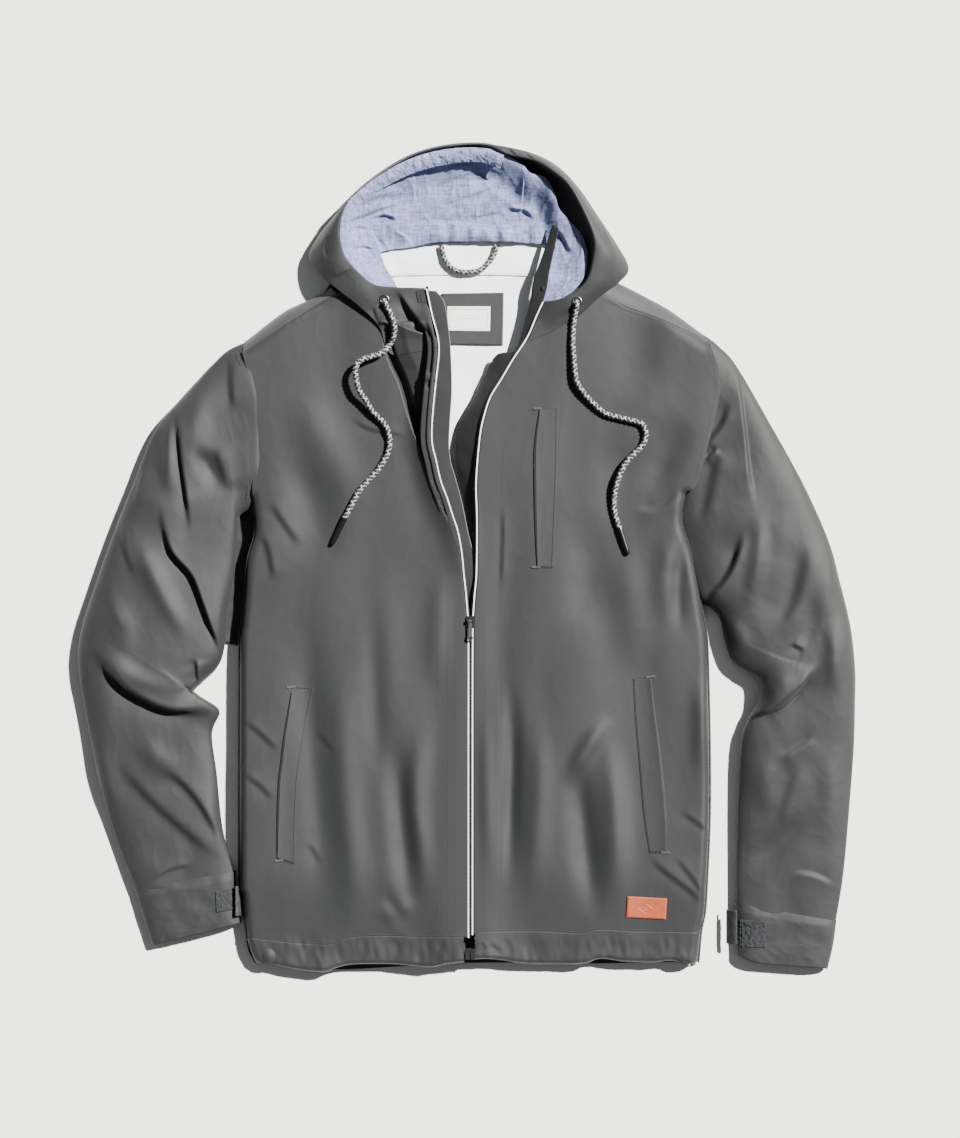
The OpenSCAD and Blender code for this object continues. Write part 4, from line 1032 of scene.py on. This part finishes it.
hood_lining_folds = [
    ("crease", [(84, 356), (50, 358), (20, 356), (-20, 359), (-70, 357)], 1.4, 12, -3.6, 6, 1.4),
    ("swell", [(-84, 340), (-30, 345), (30, 346), (88, 346)], 3.2, 9),
    ("crease", [(-133, 353), (-111, 364), (-88, 374), (-78, 377), (-70, 374)], 2.2, 9, -2.0, 6),
    ("crease", [(-104, 362), (-88, 367), (-74, 361)], 1.8, 6, -2.2, 5),
    ("crease", [(-90, 327), (-98, 342), (-111, 362)], 1.8, 8, -1.6, 6),
    ("crease", [(-57, 336), (-66, 344), (-78, 352)], 1.6, 7, -1.4, 5),
    ("crease", [(40, 375), (52, 373), (64, 371), (73, 360)], 1.6, 8, -1.6, 6),
    ("crease", [(-37, 374), (0, 386), (54, 407)], 1.3, 10, -1.1, 8, 2.0),
    ("crease", [(-1, 362), (20, 367), (45, 372)], 1.3, 7, -1.2, 6, 1.5),
    ("crease", [(-46, 392), (-20, 404), (10, 412)], 1.0, 9, -0.9, 7, 2.0),
    ("crease", [(96, 352), (104, 340), (112, 322)], 1.6, 8, -1.4, 6, 1.2),
    ("crease", [(118, 352), (122, 334), (122, 316)], 1.4, 7, -1.2, 6, 1.2),
    ("crease", [(-54, 372), (-56, 400), (-54, 431)], 0.8, 4, -0.7, 3, 0.6),
    ("crease", [(58, 356), (60, 382), (62, 412)], 0.8, 4, -0.7, 3, 0.6),
    ("swell", [(-108, 330), (-112, 346), (-100, 356)], 2.0, 8),
    ("crease", [(-124, 326), (-112, 332), (-98, 330)], 1.8, 8, -1.8, 6, 1.2),
    ("crease", [(-128, 344), (-118, 352), (-104, 352)], 1.6, 7, -1.6, 6, 1.2),
    ("crease", [(-110, 300), (-100, 312), (-92, 316)], 1.6, 8, -1.6, 6, 1.2),
    ("crease", [(-118, 372), (-96, 384), (-66, 390)], 1.2, 9, -1.2, 7, 1.6),
    ("swell", [(-20, 384), (20, 392), (56, 390)], 1.6, 11),
]
v2 = np.linspace(0, 1, 520)
u2 = crowded(84, True, False, 0.55)
A, B = paired(lining_rim, v2)[:, None], paired(lining_inner, v2)[:, None]
lining_hood_plan = A + (B - A) * u2[None, :, None]
GX, GY = lining_hood_plan[..., 0], lining_hood_plan[..., 1]
far = np.linalg.norm(B - A, axis=2) * u2[None]
span = np.linalg.norm(B - A, axis=2)
zr2, zl2 = paired(lining_rim_high, v2), paired(lining_low, v2)
fall = step01(far / np.minimum(34.0, np.maximum(span, 4)))
in_bowl = np.clip(far / 14, 0, 1) * np.clip((span - 1) / 30, 0, 1)
band = step01((360 - GY) / 4) * step01((GY - 334) / 6) * step01((100 - np.abs(GX)) / 20)
lining_hood_z = (zr2 - 1.2) + (zl2 - zr2) * fall + in_bowl * (
    0.9 * ripples(GX, GY, 60, 121) + 0.5 * crinkle(GX, GY, 36, 122) + 0.12 * crinkle(GX, GY, 17, 123)
    + 1.7 * relief(GX, GY, hood_lining_folds))
lining_hood_z += band * 1.3 * ripples(GX, 0.25 * GY, 22, 124) * in_bowl
hood_cloth("hood_lining_shell", np.dstack([lining_hood_plan, np.maximum(lining_hood_z, 3.2)]), 0.7, chambray_mat,
    "chambray", ["hood_lining", "hood_brim"])

# dark facing inside the photo-right rim, between the shell and the lining: a near-black sheet painted as the shadow
# that falls there
dark_rim = [(36, 433), (58, 424), (73, 421), (94, 408), (110, 393), (125, 366.5), (134.5, 343), (136.5, 325),
    (130.5, 298), (119, 284.5), (106, 277)]
dark_low = [(30, 428), (52, 416), (60, 405), (78, 398), (88, 383), (92, 367), (104, 352), (116, 338), (121, 318),
    (118, 298), (107, 284)]
vd = np.linspace(0, 1, 240)
ud = np.linspace(0, 1, 20)
dark_plan = lattice(dark_rim, dark_low, ud, vd)
dark_z = np.interp(vd, [0, 0.2, 0.5, 0.85, 1], [27, 32, 40, 38, 33])[:, None] - 22 * ud[None] ** 0.55 + 0.3 * ripples(
    dark_plan[..., 0], dark_plan[..., 1], 20, 171)
hood_cloth("hood_rim_facing_shade", np.dstack([dark_plan, np.maximum(dark_z, 5)]), 0.8, facing_shade_mat, "facing")

# brim facing round the top of the opening, raised over the drawcord channel
brim_line = [(-127, 378), (-100, 401), (-66, 421.5), (-28, 433.5), (14, 436), (40, 428)]
brim_low = [(-120, 371), (-94, 390), (-60, 408), (-24, 418), (12, 421), (36, 414)]
vb = np.linspace(0, 1, 260)
ub = np.linspace(0, 1, 22)
brim_plan = lattice(brim_line, brim_low, ub, vb)
bz = np.interp(vb, [0, 0.2, 0.5, 0.8, 1], [34, 30.5, 28.5, 28.5, 29.5])[:, None]
brim_z = bz - 5.0 * ub[None] ** 1.5 + 1.6 * np.sin(math.pi * ub[None]) + 0.5 * ripples(
    brim_plan[..., 0], brim_plan[..., 1], 14, 131) + 0.35 * crinkle(brim_plan[..., 0], brim_plan[..., 1], 9, 132)
hood_cloth("hood_brim_facing", np.dstack([brim_plan, brim_z]), 0.8, chambray_mat, "chambray")

# ---------- neck ----------

facing_plan = coons([(-86, 301.5), (0, 303), (74, 301.5)], [(74, 301.5), (84, 318), (94, 336)],
    [(-96, 330), (-40, 337), (40, 339), (94, 336)], [(-86, 301.5), (-90, 315), (-96, 330)],
    np.linspace(0, 1, 80), np.linspace(0, 1, 26))


def facing_height(X, Y):
    return 4.3 + 0.35 * ripples(X, Y, 46, 141) + 0.12 * crinkle(X, Y, 20, 142)


cloth("neck_facing_sheet", facing_plan, facing_height(facing_plan[..., 0], facing_plan[..., 1]), 0.8, white_mat,
    "white_lining", "torso", ["neck_facing"])
stitches("neck_facing_stitches", [[(-83, 304), (0, 305.5), (72, 304)], [(-83, 308), (0, 309.5), (73, 308)]],
    facing_height, white_thread_mat, "white_lining", pitch=3.0, long=2.1)


def label_height(X, Y):
    return lining_height(X, Y) * 0.4 + 3.4


def flat_piece(name, corners, height, thickness, material, slot, replaces, n=40):
    a, b, c, d = corners
    plan = coons([a, b], [b, c], [d, c], [a, d], np.linspace(0, 1, n), np.linspace(0, 1, n))
    return cloth(name, plan, height(plan[..., 0], plan[..., 1]), thickness, material, slot, "torso", replaces)


flat_piece("neck_label_cloth", [(-27, 228), (39, 227), (40, 284),
    (-27, 283)], label_height, 0.8, label_mat, "label_cloth",
    ["neck_label"])
flat_piece("size_label_cloth", [(-21, 243), (25, 242.5), (25.5, 269),
    (-21, 269)], lambda X, Y: label_height(X, Y) + 0.5,
    0.5, label_white_mat, "label_white", ["size_label"])
stitches("label_stitches", [[(-25, 230), (37, 229)], [(37, 229), (38, 282)], [(38, 282), (-25, 281)], [(-25, 281),
    (-25, 230)]],
    label_height, thread_mat, "label_cloth", pitch=2.6, long=1.8, wide=0.45)
stitches("size_label_border", [[(-18, 246), (22, 245.5)], [(22, 245.5), (22.4, 266)], [(22.4, 266), (-18, 266)],
    [(-18, 266), (-18, 246)], [(-8, 256), (12, 256)]],
    lambda X, Y: label_height(X, Y) + 0.5, pale_thread_mat, "label_white", pitch=1.8, long=1.3, wide=0.45)

# ---------- front edges, zip and flap ----------


def edge_height(line, lift=0.0):
    return np.column_stack([line[:, :2], body_height(line[:, 0], line[:, 1]) + lift])


right_edge_line = spaced(edge_right_front, 2.0)
left_edge_line = spaced(edge_left_front, 2.0)
# piping just inside each front edge
right_piping = edge_height(beside(right_edge_line, -1.5), -0.2)
left_piping = edge_height(beside(left_edge_line, 1.5), -0.2)
right_piping[:, 2] = edge_height(right_edge_line)[:, 2] - 0.1
left_piping[:, 2] = edge_height(left_edge_line)[:, 2] - 0.1
joined("zip_piping_cord", [tube(right_piping, 0.8),
    tube(left_piping, 0.8)], piping_mat, "piping", "torso", ["zip_piping"])

for name, base, turn, node in (("zip_tape_right_band", right_piping, -1, "zip_tape_right"),
    ("zip_tape_left_band", left_piping, 1, "zip_tape_left")):
    a = beside(base, -turn * 12)
    b = beside(base, turn * 1.4)
    t = np.linspace(0, 1, 12)
    P = a[:, None] + (b - a)[:, None] * t[None, :, None]
    P[..., 2] = base[:, None, 2] - 1.3 - 0.8 * (1 - t[None])
    surface(name, P, 0.5, tape_mat, "tape", "torso", [node])


def teeth(name, base, turn, node):
    """Coil turns of the zip, one every 1.6 mm."""
    line = even(base, np.linspace(0, 1, int(length_of(base) / 1.6)))
    T = frames_along(line)[0]
    across = np.stack([-T[:, 1], T[:, 0], 0 * T[:, 0]], 1) * turn
    parts = []
    for p, t, c in zip(line, T, across):
        mid = p + c * 1.3 - np.array([0, 0, 1.3])
        loop = np.array([mid - c * 1.0 - t * 0.2, mid - c * 0.4 + [0, 0, 0.45], mid + c * 0.55 + [0, 0, 0.45],
            mid + c * 0.8])
        parts.append(tube(loop, 0.5, 6))
    joined(name, parts, coil_mat, "coil", "torso", [node])


teeth("zip_coil_right_turns", right_piping, -1, "zip_coil_right")
teeth("zip_coil_left_turns", left_piping, 1, "zip_coil_left")

flap_right_edge = [(10, -60), (10, -12), (2, 23), (-5, 57), (-13, 87), (-17, 100), (-19, 119), (-18, 146), (-16, 178),
    (-17, 215), (-19, 240), (-24, 271), (-33, 284)]
flap_left_edge = [(-4, -60), (-8, -12), (-12, 23), (-20, 57), (-32, 87), (-36, 100), (-40, 119), (-40, 146),
    (-38, 178), (-34, 215), (-36, 240), (-42, 271), (-48, 284)]
vf = np.linspace(0, 1, 200)
uf = np.linspace(0, 1, 18)
flap_plan = lattice(flap_left_edge, flap_right_edge, uf, vf)
FX, FY = flap_plan[..., 0], flap_plan[..., 1]
flap_z = 25.0 - 3.5 * uf[None] ** 2 + 5.0 * np.sin(math.pi * np.clip(vf, 0, 1))[:, None] * (1 - 0.6 * uf[None]) + \
    0.5 * ripples(FX, FY, 40, 151)
flap_z -= 4 * step01((-20 - FY) / 30)
# the storm flap is painted near-black with the facing cloth, as painted shade
cloth("storm_flap_cloth", flap_plan, flap_z, 1.0, facing_shade_mat, "facing", "torso",
    ["storm_flap", "placket_facing_left", "placket_facing_right"])
flap_edge = np.column_stack([flap_plan[:, -1], flap_z[:, -1] - 0.3])
tube_piece("storm_flap_edge", flap_edge, 0.5, edge_mat, "tab_fabric", "torso", (), 8)

# painted shadow: a near-black sheet inside the photo-right front, up into the hood, where the front edge casts its
# shadow on the lining
inner_left_edge = [(92, 356), (85, 334), (78, 314), (71, 294), (67, 268), (59, 240), (50, 221), (32, 216), (20, 197),
    (9, 173), (-2, 155), (-9, 141), (-13, 123), (-13, 100), (-9, 80), (-3, 50), (2, 10), (5, -60)]
inner_right_edge = [(98, 350), (92, 322), (88, 302), (85, 284), (80, 268), (71, 245), (60, 228), (49, 210), (38, 192),
    (28, 175), (21, 158), (18, 140), (15, 122), (14, 100), (13, 80), (13, 50), (13, 10), (10, -60)]
va = np.linspace(0, 1, 300)
ua = np.linspace(0, 1, 14)
inner_plan = lattice(inner_left_edge, inner_right_edge, ua, va)
low_z = np.interp(va, [0, 0.15, 0.33, 0.4, 0.7, 0.9, 1], [18, 20, 20, 9, 8, 16, 22])[:, None]
high_z = np.interp(va, [0, 0.15, 0.3, 0.6, 1], [24, 27, 27, 25, 24.4])[:, None]
inner_z = low_z + (high_z - low_z) * ua[None] ** 0.8 + 0.25 * ripples(inner_plan[..., 0], inner_plan[..., 1], 30, 161)
cloth("front_shadow_strip", inner_plan, inner_z, 0.9, facing_shade_mat, "facing")

# ---------- pockets ----------


def welt_piece(name, slit_line, far_line, node, bag, bag_node):
    """A pocket: a welt that stands over its slit, and a dark tube along the slit painted as the shadow of the
    opening.
    """
    plan = lattice(slit_line, far_line, crowded(26, True, True, 0.5), np.linspace(0, 1, 160))
    t = crowded(26, True, True, 0.5)[None]
    z = body_height(plan[..., 0], plan[..., 1]) + 0.5 + 0.9 * (1 - t) ** 3
    cloth(name, plan, z, 1.6, shell_mat, "shell", "torso", [node])
    # a dark tube along the slit: painted shadow of the pocket opening
    dark = spaced(dense(slit_line), 3.0)
    h = body_height(dark[:, 0], dark[:, 1]) + 0.6
    width = 2.5 * np.sin(math.pi * np.linspace(0.02, 0.98, len(dark))) ** 0.6
    tube_piece(bag, np.column_stack([dark, h]), width, tape_mat, "chambray", "torso", [bag_node], 8, 0.25)


hand_right_slit = [(-188, -145), (-190.5, -164), (-194.5, -192), (-197.5, -220), (-200, -241), (-201, -260),
    (-202, -286), (-203, -322)]
hand_right_far = [(-163, -141), (-168, -164), (-174, -199), (-179, -232), (-181, -260), (-182, -286), (-183, -328)]
hand_left_slit = [(198, -130), (201, -164), (205, -195), (208.5, -227), (212, -260), (214, -293), (214.5, -315)]
hand_left_far = [(178, -131), (180, -169), (185, -227), (189, -274), (195, -316)]
chest_slit = [(76.5, 157), (72.5, 118), (72.5, 73), (74, -11)]
chest_far = [(98, 157), (97, 96), (94.5, 28), (93, -12)]
welt_piece("hand_welt_right", beside(dense(hand_right_slit), 1.2), hand_right_far, "hand_pocket_welt_right",
    "hand_pocket_right_mouth", "hand_pocket_bag_right")
welt_piece("hand_welt_left", beside(dense(hand_left_slit), -1.2), hand_left_far, "hand_pocket_welt_left",
    "hand_pocket_left_mouth", "hand_pocket_bag_left")
welt_piece("chest_welt", beside(dense(chest_slit), 1.6), chest_far, "chest_pocket_welt", "chest_pocket_mouth",
    "chest_pocket_bag")

# ---------- leather patch ----------

patch_centre, patch_turn = np.array([192.3, -375.5]), math.radians(-3)


def patch_point(x, y):
    c, s = math.cos(patch_turn), math.sin(patch_turn)
    return (patch_centre[0] + c * x - s * y, patch_centre[1] + s * x + c * y)


def patch_height(X, Y):
    return body_height(X, Y) + 1.7


corners = [patch_point(*p) for p in ((-21.3, -11.5), (21.3, -11.5), (21.3, 11.5), (-21.3, 11.5))]
n = 90
plan = coons([corners[0], corners[1]], [corners[1], corners[2]], [corners[3], corners[2]], [corners[0], corners[3]],
    np.linspace(0, 1, n), np.linspace(0, 1, n))
S, Tt = np.meshgrid(np.linspace(-1, 1, n), np.linspace(-1, 1, n))
diamond = np.abs(S * 21.3 / 8.0) + np.abs(Tt * 11.5 / 5.2)
press = -0.35 * np.exp(-((diamond - 1.0) / 0.12) ** 2) - 0.3 * np.exp(-((np.hypot(S * 21.3,
    Tt * 11.5) - 1.6) / 0.6) ** 2)
border = np.maximum(np.abs(S) ** 10, np.abs(Tt) ** 10)
z = patch_height(plan[..., 0], plan[..., 1]) + press - 0.8 * border ** 2
cloth("leather_badge", plan, z, 1.8, leather_mat, "leather", "torso", ["leather_patch"])
inset_corners = [patch_point(*p) for p in ((-19.6, -9.8), (19.6, -9.8), (19.6, 9.8), (-19.6, 9.8))]
stitches("badge_stitches", [[inset_corners[k], inset_corners[(k + 1) % 4]] for k in range(4)],
    lambda X, Y: patch_height(X, Y) - 0.1, woven("badge_thread", lin("8a4a2c"), 0.1),
    "leather", pitch=2.4, long=1.7,
    wide=0.5)

# ---------- stitching ----------

dark_rows = [
    beside(dense(hem_seam_right[1:]), 2.5), beside(dense(hem_seam_left), 2.5),
    [(-12, -400), (-12, -200), (-12, -60)], [(-19.5, -400), (-19.5, -200), (-19.5, -30)], [(-30, -400), (-30, -200),
    (-30, -20)], [(20, -400), (20, -200), (20, -40)], [(37, -398), (38, -200), (37, -40), (38, 90), (46, 140)],
    beside(dense(yoke_seam_right), -3), beside(dense(yoke_seam_left[::-1]), -3),
    beside(dense(armhole_right), 4.5), beside(dense(armhole_left), 4.5),
    [(-48, 280), (-42, 235), (-44, 190), (-48, 150)],
]
stitches("seam_stitches", dark_rows, lambda X, Y: body_height(X, Y), thread_mat, "shell")
pocket_rows = [
    [(-163, -141), (-186, -139.5)], [(-183, -328), (-201, -324)], beside(dense(hand_right_far), -1.8),
    [(178, -131), (197, -129)], [(195, -316), (213, -315.5)], beside(dense(hand_left_far), 1.8),
    [(98, 157), (77, 158)], [(93, -12), (74, -11.5)], beside(dense(chest_far), -1.8),
]
stitches("pocket_stitches", pocket_rows, lambda X, Y: body_height(X, Y) + 1.0, thread_mat, "shell", pitch=3.0,
    long=2.1)


def bar_tack(points, height, parts):
    """A short dense row of thread across a pocket's end."""
    a, b = arr(points)
    for t in np.linspace(0, 1, 9):
        c = a + (b - a) * t
        d = (b - a) / np.linalg.norm(b - a)
        n = np.array([-d[1], d[0]])
        ends = np.array([c - n * 1.1, c, c + n * 1.1])
        z = height(ends[:, 0], ends[:, 1]) + np.array([0.9, 1.5, 0.9])
        parts.append(tube(np.column_stack([ends, z]), 0.28, 6))


parts = []
for points in (((-191, -140), (-183, -139)), ((-204, -325), (-196, -324)), ((192, -129), (201, -128)),
    ((208, -316), (217, -316)),
    ((72, 157.5), (80, 158)), ((70, -11.5), (78, -11.5))):
    bar_tack(points, body_height, parts)
joined("bar_tacks", parts, pale_thread_mat, "shell")

cuff_rows_right = [[(-352, -363), (-300, -353), (-252, -345)]]
cuff_rows_left = [[(394, -397), (340, -389), (293, -381)]]
stitches("cuff_stitches_right", cuff_rows_right, cuff_right_height, thread_mat, "shell", "sleeve_right")
stitches("cuff_stitches_left", cuff_rows_left, cuff_left_height, thread_mat, "shell", "sleeve_left")

# ---------- eyelets ----------

eyelet_left_at, eyelet_right_at = np.array([117.5, 271.5]), np.array([-87.5, 273.0])


def ring_of(at, z, profile):
    a = np.linspace(0, 2 * math.pi, 64, endpoint=False)
    P = np.array([[(at[0] + r * math.cos(t), at[1] + r * math.sin(t), z + h) for r, h in profile] for t in a])
    P = np.concatenate([P, P[:1]], 0)
    return P.reshape(-1, 3), grid_faces(len(a) + 1, len(profile), wrap=True)


def hood_height_at(x, y):
    d = (HX - x) ** 2 + (HY - y) ** 2
    return float(hood_z.ravel()[d.argmin()])


profile = [(3.2, -1.2), (3.0, 0.4), (3.3, 1.0), (4.2, 1.25), (5.2, 1.1), (5.8, 0.6), (5.9, 0.0), (5.4, -0.4),
    (3.8, -0.6)]
sets = []
eyelet_z = {}
for key, at in (("left", eyelet_left_at), ("right", eyelet_right_at)):
    eyelet_z[key] = hood_height_at(*at)
    vv, ff = ring_of(at, eyelet_z[key], profile)
    sets.append((vv, ff, np.zeros((0, 3), int)))
joined("eyelet_rings", sets, metal_mat, "eyelet_metal", "torso", ["drawcord_eyelets"])
for key, at in (("left", eyelet_left_at), ("right", eyelet_right_at)):
    hole = np.array([[at[0], at[1], eyelet_z[key] + h] for h in (-1.0, 0.1, 0.35)])
    tube_piece("eyelet_hole_" + key, hole, 3.1, tape_mat, "tape", "torso", (), 24)

# ---------- drawcord ----------


def braid(name, line, diameter, body, slot, replaces=(), strands=8, lay=9.5):
    """A round braid of black and white strands along a line."""
    line = even(arr(line), np.linspace(0, 1, int(length_of(arr(line)) / 0.9)))
    fr = frames_along(line)
    s = np.linspace(0, length_of(line), len(line))
    strand_r = diameter * 0.155
    middle = diameter / 2 - strand_r * 1.05
    half = strands // 2
    parts, groups = [tube(line, middle - 0.25, 8, 1.0, fr)], []
    for k in range(strands):
        way = 1 if k < half else -1
        phase = 2 * math.pi * (k % half) / half
        turn = way * 2 * math.pi * s / lay + phase
        over = math.pi * (k % half) + (0 if way > 0 else math.pi)
        weave = 0.16 * diameter * 0.5 * np.cos(half * 2 * math.pi * s / lay + over)
        r = middle + weave
        centre = line + fr[1] * (np.cos(turn) * r)[:, None] + fr[2] * (np.sin(turn) * r)[:, None]
        parts.append(tube(centre, strand_r, 6))
    pattern = [1, 0, 1, 2, 0, 1, 0, 2]
    for k, p in enumerate(parts):
        count = len(p[1]) + len(p[2])
        groups.append(np.full(count, 2 if k == 0 else pattern[(k - 1) % 8]))
    verts, faces = join(parts)
    return piece(name, verts, faces, [cord_black_mat, cord_white_mat, cord_grey_mat], slot, body, replaces, True,
        np.concatenate(groups))


def cord_route(plan, eyelet_top, lift, arch):
    """The cord rises out of its eyelet, bends over and lies on the cloth."""
    flat_line = spaced(plan, 2.0)
    z = np.maximum(body_height(flat_line[:, 0], flat_line[:, 1]), 0) + lift
    d = np.min((HX[None] - flat_line[:, 0, None, None]) ** 2 + (HY[None] - flat_line[:, 1, None, None]) ** 2,
        axis=(1, 2))
    on_hood = np.array([hood_height_at(*p) for p in flat_line]) + lift
    z = np.where(d < 9, np.maximum(z, on_hood), z)
    s = np.linspace(0, length_of(flat_line), len(flat_line))
    z[0], z[1], z[2] = eyelet_top - 0.5, eyelet_top + 2.4, eyelet_top + lift + 1.0
    for _ in range(3):
        z[3:-1] = np.maximum(z[3:-1], 0.25 * z[2:-2] + 0.5 * z[3:-1] + 0.25 * z[4:])
    t = s / s[-1]
    for at, tall, wide in arch:
        z = z + tall * np.exp(-(((t - at) / wide) ** 2)) * step01(t / 0.08) * step01((1 - t) / 0.15)
    return dense(np.column_stack([flat_line, z]), 3)


CORD = 5.7  # diameter
plan_right = [(-87.5, 273), (-86, 268), (-80, 256), (-76.5, 242), (-80, 229), (-90, 217), (-103, 212), (-113, 208),
    (-118, 199), (-117, 187), (-114, 176), (-108, 167), (-100, 154), (-90, 144), (-84, 134), (-82, 121), (-85, 108),
    (-94, 93), (-104, 82), (-115, 69), (-123, 54), (-130, 41)]
plan_left = [(117.5, 271.5), (116.5, 264), (114, 248), (113, 228), (114, 213), (116, 192), (120, 181), (131, 167),
    (147, 153), (163, 148), (179, 144), (187, 141), (191, 132), (189, 121), (181, 112), (170, 100), (162, 84),
    (158, 69), (157, 53), (160, 39), (163.5, 30)]
for key, plan, tip_plan, arch in (
    ("right", plan_right, [(-130, 41), (-137, 26), (-144, 12)], [(0.36, 10, 0.13)]),
    ("left", plan_left, [(163.5, 30), (168, 16), (172.5, 2)], [(0.27, 3, 0.1), (0.8, 6, 0.1)]),
):
    route = cord_route(plan, eyelet_z[key], CORD / 2 + 0.3, arch)
    obj = braid("drawcord_" + key + "_braid", route, CORD, "torso", "cord_marled", ["drawcord_" + key])
    t = spaced(tip_plan, 1.5)
    z = body_height(t[:, 0], t[:, 1]) + 3.0
    z = np.linspace(max(z[0], route[-1, 2]), z[-1] - 0.4, len(z))
    tip_line = np.column_stack([t, z])
    start = route[-1] - tip_line[0]
    tip_line = tip_line + start * np.linspace(1, 0, len(t))[:, None]
    r = np.interp(np.linspace(0, 1, len(t)), [0, 0.04, 0.85, 0.97, 1], [2.9, 3.05, 2.65, 2.2, 1.4])
    tip = tube_piece("drawcord_tip_" + key, tip_line, r, tip_mat, "tip_plastic", "torso", ["cord_tip_" + key], 20)

loop = dense([(-27, 334.5, 8.0), (-26, 328, 8.0), (-23, 318, 7.8), (-16, 310, 7.8), (-7, 306, 7.8), (2, 305.5, 7.8),
    (12, 307, 7.8), (20, 312, 7.8), (27, 320, 7.9), (31, 328, 8.0), (32.5, 334.5, 8.0)], 6)
braid("hang_loop_rope", loop, 5.6, "hang_loop", "cord_marled", ["hang_loop"])

# ---------- cords inside the channels ----------

hem_run = spaced([(-203, -425), (-140, -428), (-60, -427), (4, -424), (90, -426), (150, -423), (223, -425)], 4)
tube_piece("hem_cord_run", np.column_stack([hem_run, 0.5 * body_height(hem_run[:, 0], hem_run[:, 1])]), 1.5,
    cord_black_mat, "cord_black", "torso", ["hem_drawcord"])


def channel(first, last, column, depth):
    """A line under the hood's cloth, between two fractions of the way round it."""
    k = ((v > first) & (v < last)).nonzero()[0][::3]
    return np.column_stack([hood_plan[k, column], hood_z[k, column] - depth])


joined("collar_cord_run", [tube(channel(0.72, 0.9, 30, 5.5), 2.6, 8), tube(channel(0.13, 0.30, 30, 5.5), 2.6, 8)],
    cord_grey_mat, "cord_marled", "torso", ["collar_drawcord"])
hood_cord = tube_piece("hood_cord_run", channel(0.34, 0.66, 24, 6.5),
    2.6, cord_grey_mat, "cord_marled", None, ["hood_drawcord"])
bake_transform(hood_cord)

# ---------- kept CAD pieces ----------

for node, material in (
    ("zip_slider", metal_mat), ("zip_puller", pull_mat), ("zip_retainer_box", coil_mat), ("zip_top_stops", metal_mat),
    ("cord_lock_left", tip_mat), ("cord_lock_right", tip_mat), ("cord_lock_button_left", pull_mat),
    ("cord_lock_button_right", pull_mat),
):
    mesh = nodes[node].data
    mesh.materials.clear()
    mesh.materials.append(material)

# ---------- floor and light ----------

bpy.ops.mesh.primitive_plane_add(size=FLOOR_SIZE, location=(0, 0, 0))
floor = bpy.context.object
floor.name = "floor"
floor.data.materials.append(floor_mat)

sun_data = bpy.data.lights.new("key", "SUN")
sun_data.energy = SUN_STRENGTH
sun_data.angle = math.radians(2.2)
sun_data.color = (1.0, 0.985, 0.955)
sun = bpy.data.objects.new("key", sun_data)
sun.rotation_euler = Vector(SUN_DIRECTION).to_track_quat("-Z", "Y").to_euler()
bpy.context.scene.collection.objects.link(sun)

world = bpy.data.worlds.new("studio")
bpy.context.scene.world = world
world.use_nodes = True
sky = world.node_tree.nodes["Background"]
sky.inputs["Color"].default_value = (0.95, 0.97, 1.0, 1)
sky.inputs["Strength"].default_value = SKY_STRENGTH
